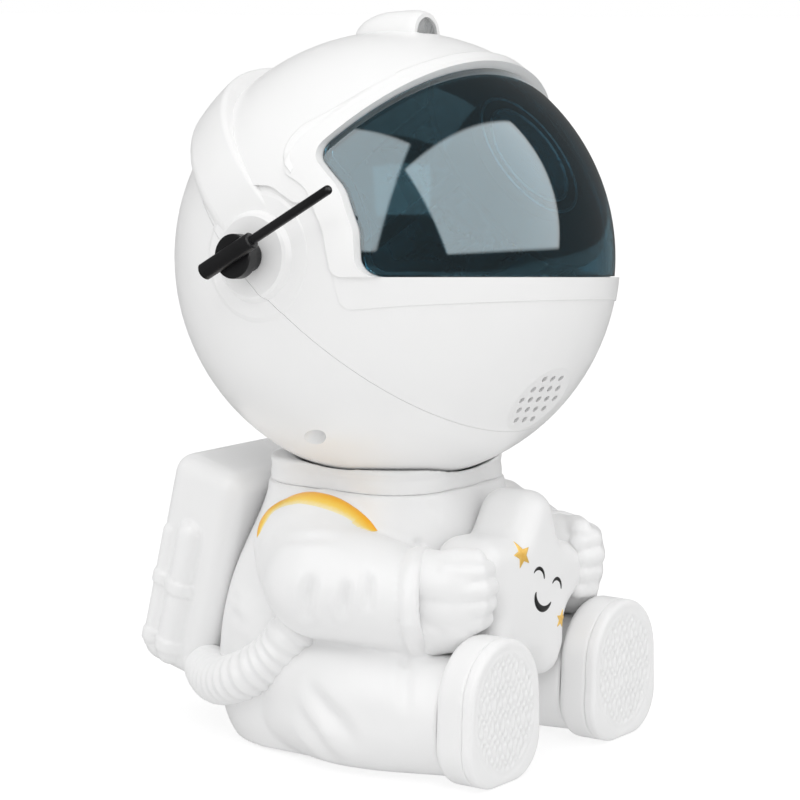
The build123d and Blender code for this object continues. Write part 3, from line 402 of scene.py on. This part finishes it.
# ---------------------------------------------------------------- suit
FLAT = 1.2  # below this height the shell rests on its base and stays flat
FLAT_FADE = 4.0  # how far above it the softening comes to its full strength
LOWEST = 0.8  # no point of the suit goes lower
WRIST = Vector((34.0, -31.0, 48.8))
ALONG_CUFF = (Vector((30.0, -41.5, 49.5)) - WRIST).normalized()
ACROSS_CUFF = ALONG_CUFF.cross(Vector((0, 0, 1))).normalized()
OVER_CUFF = ALONG_CUFF.cross(ACROSS_CUFF)
CUFF_R, CUFF_ROLL, CUFF_AHEAD = 13.5, 2.3, 2.3  # the band's ring, its thickness, its place
CUFF_STEPS = 28
FOLDS = [
    # sleeve: elbow creases and the pinch behind the cuff, each (line, width, depth)
    ([(-57, -13, 59), (-57.4, -11.4, 52), (-55, -9, 43.5)], 1.9, 2.2),
    ([(-53.6, -22, 58.5), (-54, -21.5, 52), (-52, -19.5, 45)], 1.5, 1.7),
    ([(-49, -26.3, 61.5), (-51, -27.3, 55), (-50.8, -27, 47.5)], 1.5, 1.7),
    ([(-53, -17, 42), (-56, -17, 46), (-57, -17, 50)], 1.6, 1.0),
    ([(-53, 3, 66), (-52, -7, 66.5), (-47, -16, 67.5)], 1.6, 0.9),
    ([(-33, -20, 65.5), (-41, -22, 63), (-46, -25, 58)], 1.8, 1.0),
    # waist
    ([(-38, 34, 44), (-44, 27, 43), (-49, 14, 43)], 1.6, 2.6),
    ([(-40, 33, 39), (-46, 24, 38), (-50, 10, 34)], 1.8, 2.2),
    ([(-47, 22, 30), (-50, 12, 30), (-51, 4, 33)], 1.8, 0.8),
    # leg
    ([(-52, -5, 28), (-54.5, -12, 22), (-54.8, -20, 16), (-51, -26, 8)], 2.6, 2.0),
    ([(-49, -2, 20), (-52.5, -10, 12), (-50, -17, 2)], 2.6, 1.2),
    ([(-40, -34, 35), (-47, -37, 30), (-50, -39, 20)], 1.8, 0.8),
    # lapels
    ([(-19, -26, 74), (-17, -29.5, 69), (-13, -31.5, 64)], 1.2, 1.5),
    ([(-6, -31, 73), (-8, -32.5, 68.5), (-12, -32, 64.5)], 1.2, 0.8),
]


def suit_extras(bm):
    """The sleeve's fuller shoulder and the gathered band at its cuff, on both sides."""
    for side in (-1, 1):
        capsule(bm, (side * 33, 9, 60), (side * 33, 4, 59), 14.6, 17.5)
        ring = []
        for n in range(CUFF_STEPS + 1):
            angle = 2 * math.pi * n / CUFF_STEPS
            reach = CUFF_R + 0.35 * math.sin(5 * angle) + 0.25 * math.sin(11 * angle + 1)
            outward = ACROSS_CUFF * math.cos(angle) + OVER_CUFF * math.sin(angle)
            ring.append(WRIST + ALONG_CUFF * CUFF_AHEAD + outward * reach)
        gathers = [CUFF_ROLL + 0.25 * math.sin(7 * n) for n in range(CUFF_STEPS + 1)]
        string(bm, mirrored(ring, side), gathers)


def cuff_groove(points, normals, side):
    """Press the groove behind a cuff's band."""
    behind, width, deep = 1.2, 1.1, 0.9
    nearest, furthest = 9, 19  # from the sleeve's axis
    axis = np.array([side * ALONG_CUFF.x, ALONG_CUFF.y, ALONG_CUFF.z])
    off = points / MM - np.array([side * WRIST.x, WRIST.y, WRIST.z])
    ahead = off @ axis
    aside = np.linalg.norm(off - ahead[:, None] * axis, axis=1)
    near = (aside < furthest) & (aside > nearest)
    press = np.where(near, np.exp(-(((ahead + behind) / width) ** 2)), 0)
    return points - normals * (press * deep * MM)[:, None]


suit_nodes = ["body_shell", "arm_right", "arm_left"]
suit_mesh = skin("suit", suit_nodes, 1.0, suit_extras)
hold = np.clip((read_points(suit_mesh)[:, 2] / MM - FLAT) / FLAT_FADE, 0, 1)
pts = soften(suit_mesh, 10, hold)
nrm = read_normals(suit_mesh)
for line, width, depth in FOLDS:
    for side in (1, -1):
        pts = crease(pts, nrm, mirrored(line, side), width, depth)
for side in (-1, 1):
    pts = cuff_groove(pts, nrm, side)
    pts = swell(pts, nrm, (side * 52, -5, 53), 10, 0.7)
    pts = swell(pts, nrm, (side * 47, -19, 56), 9, 0.6)
pts = relax(pts, read_edges(suit_mesh), 2, hold)
pts[:, 2] = np.maximum(pts[:, 2], LOWEST * MM)
write_points(suit_mesh, pts)
suit = new_object("suit", suit_mesh, suit_white, "body")
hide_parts(*suit_nodes)
suit_tree = tree_over(suit_mesh, pts)

# ---------------------------------------------------------------- gloves, boots
PALM = ((42.8, 7.6), (48.5, 9.0), (54.5, 9.2))  # each rod's height and its radius by the fingers
FIRST_FINGER, FINGER_PITCH = 58.4, 4.6
FINGER_RADII = [3.9, 3.7, 3.5, 3.1]  # from the knuckle to the tip
FRONT_FINGER = 1.2  # the place in the row that reaches furthest forward


def glove_form(side):
    """The palm, four curled fingers and the thumb of one glove."""

    def build(bm):
        for z, end in PALM:
            string(bm, mirrored([(33.5, -34.5, z), (31.5, -41.5, z)], side), [9.5, end])
        for n in range(4):
            z = FIRST_FINGER - FINGER_PITCH * n
            bend = 0.9 * abs(n - FRONT_FINGER) ** 1.3
            finger = [
                (35.5, -43, z),
                (34, -46.8 + bend, z),
                (29.6, -49.8 + bend, z),
                (24.6, -49.4 + bend, z),
            ]
            string(bm, mirrored(finger, side), FINGER_RADII)
        thumb = [(34, -37, 59), (31, -42.5, 61), (27.5, -46.5, 61.4)]
        string(bm, mirrored(thumb, side), [4.4, 3.9, 3.4])

    return build


for side, name in SIDES:
    mesh = skin("glove_" + name + "_form", [], 0.7, glove_form(side))
    soften(mesh, 7)
    glove = new_object("glove_" + name + "_form", mesh, suit_white, "body")
    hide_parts("glove_" + name)

for name in ("boot_right", "boot_left"):
    mesh = skin(name + "_form", [name], 0.8)
    soften(mesh, 12)
    boot = new_object(name + "_form", mesh, suit_white, "body")
    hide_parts(name)

# ---------------------------------------------------------------- collar
# The collar keeps its seat for the helmet's ball and its foot; only its edges soften.
SEAT_REACH = 66.2  # from the helmet's centre; what is nearer is the seat
COLLAR_FOOT = 76.0
COLLAR_GROOVE_Z, COLLAR_GROOVE_DEPTH = 80.4, 0.28
COLLAR_OUTSIDE = 26.5  # further out than this is the outer wall, which has the groove
mesh = skin("collar_form", ["neck_collar"], 0.55)
pts = read_points(mesh)
to_ball = np.linalg.norm(pts / MM - np.array(HEAD_C), axis=1)
hold = np.clip(to_ball - SEAT_REACH, 0, 1) * (pts[:, 2] > COLLAR_FOOT * MM)
pts = soften(mesh, 14, hold)
groove = np.exp(-((pts[:, 2] / MM - COLLAR_GROOVE_Z) ** 2)) * COLLAR_GROOVE_DEPTH
outside = np.hypot(pts[:, 0], pts[:, 1]) > COLLAR_OUTSIDE * MM
pts = pts - read_normals(mesh) * (np.where(outside, groove, 0) * MM)[:, None]
write_points(mesh, pts)
collar = new_object("collar_form", mesh, collar_white, "body")
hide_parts("neck_collar")

# ---------------------------------------------------------------- backpack
PACK = Matrix.Translation(Vector((0, 53, 48)) * MM) @ Matrix.Rotation(math.radians(14), 4, "X")
PACK_SIZE = (68.0, 26.0, 66.0)
PACK_R = 6.0
TANKS = ((0.6, 4.8, 32.4, 10.5), (8.8, 3.0, 31.6, 8.5))  # each (depth, radius, out, top)
TANK_FOOT = -26.5
TANK_BANDS = (-6.2, -24.8)
BAND_PROUD, BAND_WIDE = 0.6, 1.4
RIM_LINE = ((30, -8, 33), (30, 6, 33), (30, 9, 31), (30, 9, -29))
PANEL = [(-24, 13, 22), (24, 13, 22), (24, 13, -22), (-24, 13, -22), (-24, 13, 22)]


def in_pack(x, y, z):
    return (PACK @ (Vector((x, y, z)) * MM)) / MM


def pack_build(bm):
    """A box with round edges, and two banded tanks in relief on each flank."""
    half = [d / 2 - PACK_R for d in PACK_SIZE]
    for k in range(3):
        size = [2 * h for h in half]
        size[k] += 2 * PACK_R
        block(bm, PACK, size)
        i, j = (k + 1) % 3, (k + 2) % 3
        for a in (-1, 1):
            for b in (-1, 1):
                lo, hi = [0.0] * 3, [0.0] * 3
                lo[i] = hi[i] = a * half[i]
                lo[j] = hi[j] = b * half[j]
                lo[k], hi[k] = -half[k], half[k]
                capsule(bm, in_pack(*lo), in_pack(*hi), PACK_R, PACK_R)
    for side in (-1, 1):
        for depth, r, out, top in TANKS:
            x = side * out
            capsule(bm, in_pack(x, depth, TANK_FOOT), in_pack(x, depth, top), r, r)
            for at in TANK_BANDS:
                for edge in (-1.0, 0.0, 1.0):
                    place = PACK @ Matrix.Translation(Vector((x, depth, at + edge)) * MM)
                    drum(bm, place, r + BAND_PROUD, r + BAND_PROUD, BAND_WIDE, 40)


mesh = skin("backpack_form", [], 0.6, pack_build)
pts = soften(mesh, 2)
nrm = read_normals(mesh)
for side in (-1, 1):
    rim = [in_pack(*spot) for spot in mirrored(RIM_LINE, side)]
    pts = crease(pts, nrm, rim, 0.9, 0.25, 0.0)
for a, b in zip(PANEL, PANEL[1:]):
    pts = crease(pts, nrm, [in_pack(*a), in_pack(*b)], 0.9, 0.7, 0.0)
write_points(mesh, pts)
pack = new_object("backpack_form", mesh, suit_white, "body")
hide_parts("backpack")

# ---------------------------------------------------------------- star
# It is held a little askew, one arm up over the right glove, with its front puffed up.
STAR_TURN = math.radians(10)
STAR_MIDDLE = (0, 0, 47.1)
PUFF_Z, PUFF_REACH, PUFF_HEIGHT = 48, 19, 1.8
STAR_FACE_Y = -42  # what is in front of this is the star's front
mesh = skin("star_form", ["star"], 0.8)
pts = soften(mesh, 25)
middle = np.array(STAR_MIDDLE) * MM
pts = (pts - middle) @ np.array(Matrix.Rotation(STAR_TURN, 3, "Y")).T + middle
off_centre = np.hypot(pts[:, 0], pts[:, 2] - PUFF_Z * MM) / (PUFF_REACH * MM)
pts[:, 1] -= np.exp(-(off_centre**2)) * (pts[:, 1] < STAR_FACE_Y * MM) * PUFF_HEIGHT * MM
write_points(mesh, pts)
star = new_object("star_form", mesh, suit_white, "body")
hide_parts("star")
star_tree = tree_over(mesh, pts)


# ---------------------------------------------------------------- painted marks
def laid(name, rows, tree, material, body="body", lifts=(-0.08, 0.12, -0.08), about=None):
    """A thin film over a surface. Each row is a list of (from, towards) rays.

    The lifts are the heights above the surface of the first column, the ones between and
    the last. They go along the surface's normal, or against the rays where about is given.
    """
    bm = bmesh.new()
    layer = bm.verts.layers.float.new("across")
    grid = []
    for row in rows:
        last = len(row) - 1
        line = []
        for n, (start, towards) in enumerate(row):
            start, towards = Vector(start) * MM, Vector(towards)
            hit, normal, _, _ = tree.ray_cast(start, towards.normalized())
            if hit is None:
                hit, normal = start, -towards
            up = -towards if about else normal
            lift = lifts[-1] if n == last else lifts[min(n, len(lifts) - 2)]
            vert = bm.verts.new(hit + up.normalized() * (lift * MM))
            vert[layer] = n / last
            line.append(vert)
        grid.append(line)
    for a, b in zip(grid, grid[1:]):
        for n in range(len(a) - 1):
            bm.faces.new((a[n], a[n + 1], b[n + 1], b[n]))
    bmesh.ops.remove_doubles(bm, verts=bm.verts, dist=1e-7)
    bmesh.ops.recalc_face_normals(bm, faces=bm.faces)
    return new_object(name, to_mesh(bm, name), material, body)


def star_ray(x, z):
    """The ray that meets the star's front at (x, z)."""
    return (x, -80, z), (0, 1, 0)


def stroke(name, centre, line, width):
    """A brush stroke on the star's front, along (x, z) points about a centre."""
    rows = []
    steps = len(line) - 1
    for n, p in enumerate(line):
        t = n / steps
        tangent = (line[min(n + 1, steps)] - line[max(n - 1, 0)]).normalized()
        across = Vector((-tangent.y, tangent.x))
        half = width / 2 * (0.12 + 0.88 * math.sin(math.pi * t) ** 0.6)
        spots = [p + across * half * k for k in (-1, -0.6, 0, 0.6, 1)]
        rows.append([star_ray(centre[0] + q.x, centre[1] + q.y) for q in spots])
    return laid(name, rows, star_tree, ink)


def gold_star(name, centre, reach, turn):
    """A small five-pointed star laid on the star's front, turned by some degrees."""
    corners, fine = 10, 4  # and the steps from each corner to the next
    rim = []
    for n in range(corners):
        r = reach if n % 2 == 0 else reach * 0.45
        angle = math.radians(90 + 36 * n + turn)
        rim.append(Vector((centre[0] + r * math.cos(angle), centre[1] + r * math.sin(angle))))
    rows = []
    for n in range(corners * fine + 1):
        from_corner, to_corner = rim[n // fine % corners], rim[(n // fine + 1) % corners]
        x, z = from_corner.lerp(to_corner, n % fine / fine)
        rows.append(
            [
                star_ray(centre[0] + (x - centre[0]) * k, centre[1] + (z - centre[1]) * k)
                for k in (0.001, 0.25, 0.5, 0.75, 0.93, 1.0)
            ]
        )
    return laid(name, rows, star_tree, gold_paint, lifts=(0.2, 0.2, -0.04))


FACE_TILT = math.radians(-26)


def tilted_arc(wide, high, start, end, steps=24):
    """Points along part of an ellipse, between two angles in degrees, tilted with the face."""
    c, d = math.cos(FACE_TILT), math.sin(FACE_TILT)
    arc = []
    for n in range(steps + 1):
        angle = math.radians(start + (end - start) * n / steps)
        x, z = wide * math.cos(angle), high * math.sin(angle)
        arc.append(Vector((x * c - z * d, x * d + z * c)))
    return arc


# The star's small sleeping face and its two gold stars, at (x, z) on its front.
eye_arc = tilted_arc(2.9, 2.9, 165, 15)
stroke("eye_right", (-1.9, 52.4), eye_arc, 1.3)
stroke("eye_left", (7.6, 47.8), eye_arc, 1.3)
stroke("mouth", (0.9, 46.9), tilted_arc(4.5, 3.7, 182, 352), 2.3)
gold_star("gold_star_upper", (-9.0, 60.2), 3.9, 10)
gold_star("gold_star_lower", (11.2, 38.2), 2.9, -12)


# ---------------------------------------------------------------- shoulder stripes
def smooth_line(points, steps):
    """A smooth line through the points: Catmull-Rom spans."""
    knots = [Vector(p) for p in points]
    knots = [knots[0] * 2 - knots[1]] + knots + [knots[-1] * 2 - knots[-2]]
    line = []
    for n in range(steps + 1):
        t = n / steps * (len(points) - 1)
        k = min(int(t), len(points) - 2)
        t -= k
        a, b, c, d = knots[k : k + 4]
        square = a * 2 - b * 5 + c * 4 - d
        cube = b * 3 - a - c * 3 + d
        line.append((b * 2 + (c - a) * t + square * t * t + cube * t**3) / 2)
    return line


def band(
    name, points, width, tree, material,
    lifts=(-0.08, 0.12, -0.08), taper=0.5, aside=1, steps=90, about=None,
):
    """A strip to one side of a line on a surface, narrowing at both ends.

    Where about is given, it is the centre of the ball under a strip that rides on the head.
    """
    clear = 6  # the rays start this far off the line
    line = smooth_line(points, steps)
    rows = []
    for n, p in enumerate(line):
        t = n / steps
        tangent = (line[min(n + 1, steps)] - line[max(n - 1, 0)]).normalized()
        normal = (p - about).normalized() if about else tree.find_nearest(p * MM)[1]
        across = tangent.cross(normal).normalized()
        reach = aside * width * max(0.06, math.sin(math.pi * t) ** taper)
        spots = [p + across * reach * k for k in (0, 0.04, 0.2, 0.4, 0.6, 0.8, 1)]
        rows.append([(spot + normal * clear, -normal) for spot in spots])
    return laid(name, rows, tree, material, "head" if about else "body", lifts, about)


STRIPE_WIDTH = 8.0
STRIPE_LINE = [
    (44.6, 16.6, 63.2),
    (43.2, 18.3, 66.4),
    (40.0, 18.4, 69.3),
    (37.0, 16.0, 72.0),
    (35.5, 11.5, 74.3),
    (35.0, 5.5, 75.8),
    (34.9, 0.0, 76.2),
    (33.8, -5.0, 75.2),
    (32.4, -9.7, 72.7),
    (31.5, -13.6, 69.6),
    (31.4, -16.2, 66.9),
]
for side, name in SIDES:
    points = mirrored(STRIPE_LINE, side)
    band(
        "shoulder_stripe_" + name, points, STRIPE_WIDTH, suit_tree, stripe_paint,
        taper=0.4, aside=-side,
    )

# ---------------------------------------------------------------- helmet
# The step around the brow: a thin plate, proud at its outer edge and flush by the visor.
HEAD_X = Vector((0.9966, 0, -0.0821))
HEAD_Y = Vector((-0.0048, 0.9983, -0.0588))
HEAD_Z = Vector((0.082, 0.059, 0.9949))
BROW_WIDTH = 3.4
BROW_LIFTS = (-0.1, 0.32, 0.26, 0.2, 0.14, 0.06, -0.1)
BROW_HALF = [  # its right half, from the ear to the middle, about the ball in the head's frame
    (-60.8, -8.8, 22.3),
    (-60.0, -5.6, 25.6),
    (-57.9, -4.6, 30.4),
    (-54.5, -7.4, 35.6),
    (-50.8, -13.0, 39.3),
    (-45.5, -18.0, 43.5),
    (-37.5, -23.0, 48.5),
    (-25.4, -28.0, 53.3),
    (-12.0, -30.6, 56.3),
    (0.0, -31.3, 57.2),
]
brow = BROW_HALF + mirrored(BROW_HALF[-2::-1], -1)
brow = [HEAD_C + HEAD_X * x + HEAD_Y * y + HEAD_Z * z for x, y, z in brow]
shell = frame["nodes"]["helmet_front_shell"].data
band(
    "brow_step", brow, BROW_WIDTH, tree_over(shell, read_points(shell)), MATS["white_shell"],
    BROW_LIFTS, taper=0.2, steps=160, about=HEAD_C,
)

# ---------------------------------------------------------------- lens rims
# Two polished rims at the front of the lens's bezel, seen faintly through the visor.
LENS_AXIS = Vector((0.0473, -0.8155, 0.5769))
RIMS = ((15.0, "inner"), (18.7, "outer"))
RIM_HALF_WIDE, RIM_HALF_DEEP = 0.45, 0.3
RIM_STEPS, RIM_SIDES = 96, 10
bezel_points = read_points(frame["nodes"]["lens_bezel"].data)
bezel_middle = Vector(bezel_points.mean(axis=0))
bezel_front = ((bezel_points - np.array(bezel_middle)) @ np.array(LENS_AXIS)).max()
facing = LENS_AXIS.to_track_quat("Z", "Y").to_matrix().to_4x4()
place = Matrix.Translation(bezel_middle + LENS_AXIS * bezel_front) @ facing
for radius, name in RIMS:
    rings = []
    for n in range(RIM_STEPS):
        turned = place @ Matrix.Rotation(2 * math.pi * n / RIM_STEPS, 4, "Z")
        ring = []
        for k in range(RIM_SIDES):
            angle = 2 * math.pi * k / RIM_SIDES
            x = radius + RIM_HALF_WIDE * math.cos(angle)
            ring.append(turned @ (Vector((x, 0, RIM_HALF_DEEP * math.sin(angle))) * MM))
        rings.append(ring)
    rim_mesh = tube("lens_rim_" + name, rings, closed=True)
    new_object("lens_rim_" + name, rim_mesh, MATS["aluminium"], "head")

# ---------------------------------------------------------------- soles
SOLE_Y = -56.4  # what is in front of this is the face that the tread is cut into
SOLE_X, SOLE_Z = 31.2, 20.8
SOLE_HALF_W, SOLE_HALF_H = 15.5, 18.0
TREAD_PITCH, TREAD_DEPTH = 2.6, 0.65
for side, name in SIDES:
    mesh = skin("sole_" + name + "_tread", ["sole_" + name], 0.42)
    pts = soften(mesh, 6)
    x = pts[:, 0] / MM - side * SOLE_X
    z = pts[:, 2] / MM
    wave = 0.3 * np.sin(z * 0.9) + 0.25 * np.sin(x * 1.3 + z)
    a, b = (
        np.abs(((x + lean * (z * 0.6 + wave)) / TREAD_PITCH) % 1.0 - 0.5) * 2 for lean in (1, -1)
    )
    reach = np.hypot(x / SOLE_HALF_W, (z - SOLE_Z) / SOLE_HALF_H)
    inside = np.clip((0.93 - reach) / 0.06, 0, 1)
    edge = np.exp(-(((reach - 0.97) / 0.04) ** 2)) * 0.25
    tread_cut = np.clip(np.maximum(a, b) ** 2 * inside * 0.75 + edge, 0, 1)
    pts[:, 1] += np.where(pts[:, 1] < SOLE_Y * MM, tread_cut * TREAD_DEPTH * MM, 0)
    write_points(mesh, pts)
    tread = new_object("sole_" + name + "_tread", mesh, sole_white, "body")
    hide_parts("sole_" + name)

# ---------------------------------------------------------------- hose
HOSE_POINTS = [
    (-26.0, 52.0, 19.5),
    (-37.0, 41.0, 16.0),
    (-47.0, 22.0, 21.5),
    (-45.0, 9.0, 30.0),
    (-45.0, 3.0, 39.0),
    (-38.0, -5.0, 47.0),
]
HOSE_R, RIB_HEIGHT, RIB_PITCH = 6.9, 0.36, 3.7
HOSE_STEPS, HOSE_SIDES = 420, 28


def smooth_route(points):
    """A spline's points, in metres, close together."""
    curve = bpy.data.curves.new("hose_route", "CURVE")
    curve.dimensions = "3D"
    spline = curve.splines.new("NURBS")
    spline.points.add(len(points) - 1)
    for point, place in zip(spline.points, points):
        point.co = (*(Vector(place) * MM), 1)
    spline.order_u = 3
    spline.use_endpoint_u = True
    curve.resolution_u = 60
    obj = bpy.data.objects.new("hose_route", curve)
    bpy.context.collection.objects.link(obj)
    route = read_points(bpy.data.meshes.new_from_object(obj))
    bpy.data.objects.remove(obj)
    return route


route = smooth_route(HOSE_POINTS)
lengths = np.concatenate([[0], np.cumsum(np.linalg.norm(np.diff(route, axis=0), axis=1))])
stations = np.linspace(0, lengths[-1], HOSE_STEPS)
path = np.stack([np.interp(stations, lengths, route[:, k]) for k in range(3)], 1)
rings = []
u = None  # each ring's first direction carries on from the ring before, so the hose has no twist
for n in range(HOSE_STEPS):
    tangent = Vector(path[min(n + 1, HOSE_STEPS - 1)] - path[max(n - 1, 0)]).normalized()
    u = (tangent.orthogonal() if u is None else u - tangent * u.dot(tangent)).normalized()
    v = tangent.cross(u)
    swing = math.cos(2 * math.pi * stations[n] / (RIB_PITCH * MM))
    r = (HOSE_R + RIB_HEIGHT * swing) * MM
    angles = [2 * math.pi * k / HOSE_SIDES for k in range(HOSE_SIDES)]
    rings.append([Vector(path[n]) + (u * math.cos(a) + v * math.sin(a)) * r for a in angles])
hose = new_object("hose_tube", tube("hose_tube", rings, closed=False), suit_white, "body")
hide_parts("hose")

# ---------------------------------------------------------------- stage
n = Nodes("floor_paper")
n.mottle(3.0, (0.34, 0.34, 0.34), (0.36, 0.36, 0.36))
n.set(Roughness=0.95, Emission_Color=(1, 1, 1, 1))
glow = n.add("ShaderNodeMath", operation="MULTIPLY_ADD")
glow.inputs[1].default_value = 0.13  # how much brighter the camera sees the paper than the object
glow.inputs[2].default_value = 0.56
n.link(n.add("ShaderNodeLightPath").outputs["Is Camera Ray"], glow.inputs[0])
n.link(glow.outputs[0], n.bsdf.inputs["Emission Strength"])
bm = bmesh.new()
bmesh.ops.create_grid(bm, x_segments=8, y_segments=8, size=20)
floor_mesh = to_mesh(bm, "floor")
floor_mesh.materials.append(n.mat)
floor = bpy.data.objects.new("floor", floor_mesh)
bpy.context.collection.objects.link(floor)
floor.visible_glossy = False

# ---------------------------------------------------------------- sky
SKY = 0.875  # even light on everything
GLOSS_SKY = 0.09  # what glossy surfaces see between the windows
FRONT_GLOW, LEFT_GLOW = 2.4, 2.2
world = bpy.data.worlds.new("studio")
bpy.context.scene.world = world
world.use_nodes = True
tree = world.node_tree
ground = tree.nodes["Background"]
ground.inputs["Color"].default_value = (1, 1, 1, 1)
heading = tree.nodes.new("ShaderNodeTexCoord").outputs["Generated"]


def world_node(kind, operation, *sources):
    """A math node of the sky, fed with sockets or numbers."""
    node = tree.nodes.new(kind)
    node.operation = operation
    for n, source in enumerate(sources):
        if isinstance(source, bpy.types.NodeSocket):
            tree.links.new(source, node.inputs[n])
        else:
            node.inputs[n].default_value = source
    return node


def sky_math(operation, *sources):
    return world_node("ShaderNodeMath", operation, *sources).outputs[0]


def sky_dot(direction):
    """How far the ray's heading goes along a direction."""
    unit = Vector(direction).normalized()
    return world_node("ShaderNodeVectorMath", "DOT_PRODUCT", heading, unit).outputs["Value"]


def window(centre, wide, tall, width, height):
    """A soft-edged rectangle of light in the studio's sky, that only glossy surfaces mirror."""
    soft = 0.02
    ahead, aside, above = (sky_dot(v) for v in (centre, wide, tall))
    shares = []
    for along, half in ((aside, width / 2), (above, height / 2)):
        edge = tree.nodes.new("ShaderNodeMapRange")
        edge.inputs["From Min"].default_value = half + soft
        edge.inputs["From Max"].default_value = half - soft
        inside = sky_math("ABSOLUTE", sky_math("DIVIDE", along, ahead))
        tree.links.new(inside, edge.inputs["Value"])
        shares.append(edge.outputs["Result"])
    in_front = sky_math("GREATER_THAN", ahead, 0.05)
    return sky_math("MULTIPLY", in_front, sky_math("MULTIPLY", *shares))


front = window((0.112, -0.818, 0.564), (0.99, 0.09, -0.06), (-0.01, 0.57, 0.82), 1.5, 1.1)
left = window((-0.782, -0.019, 0.632), (0.16, -0.99, 0.0), (0.62, 0.14, 0.77), 0.7, 1.25)
mirrored_light = sky_math("MULTIPLY_ADD", front, FRONT_GLOW, GLOSS_SKY)
mirrored_light = sky_math("MULTIPLY_ADD", left, LEFT_GLOW, mirrored_light)
ray = tree.nodes.new("ShaderNodeLightPath").outputs
power = sky_math("MULTIPLY", ray["Is Glossy Ray"], mirrored_light)
power = sky_math("MULTIPLY_ADD", sky_math("SUBTRACT", 1.0, ray["Is Glossy Ray"]), SKY, power)
power = sky_math("MULTIPLY_ADD", ray["Is Camera Ray"], 1 - SKY, power)
tree.links.new(power, ground.inputs["Strength"])

# ---------------------------------------------------------------- lights
LIT_SPOT = Vector((0, 0, 0.1))


def softbox(name, place, size, energy):
    """A square area light that shines on the figure and isn't mirrored in it."""
    light = bpy.data.lights.new(name, "AREA")
    light.shape = "RECTANGLE"
    light.size = light.size_y = size
    light.energy = energy
    obj = bpy.data.objects.new(name, light)
    obj.visible_glossy = False
    bpy.context.collection.objects.link(obj)
    look = LIT_SPOT - Vector(place)
    obj.matrix_world = Matrix.LocRotScale(Vector(place), look.to_track_quat("-Z", "Y"), None)


softbox("key", (-1.2, -1.0, 1.5), 1.0, 6)
softbox("rear", (-1.0, 1.2, 1.5), 1.0, 4)
softbox("top", (0.1, -0.2, 1.9), 1.2, 5)
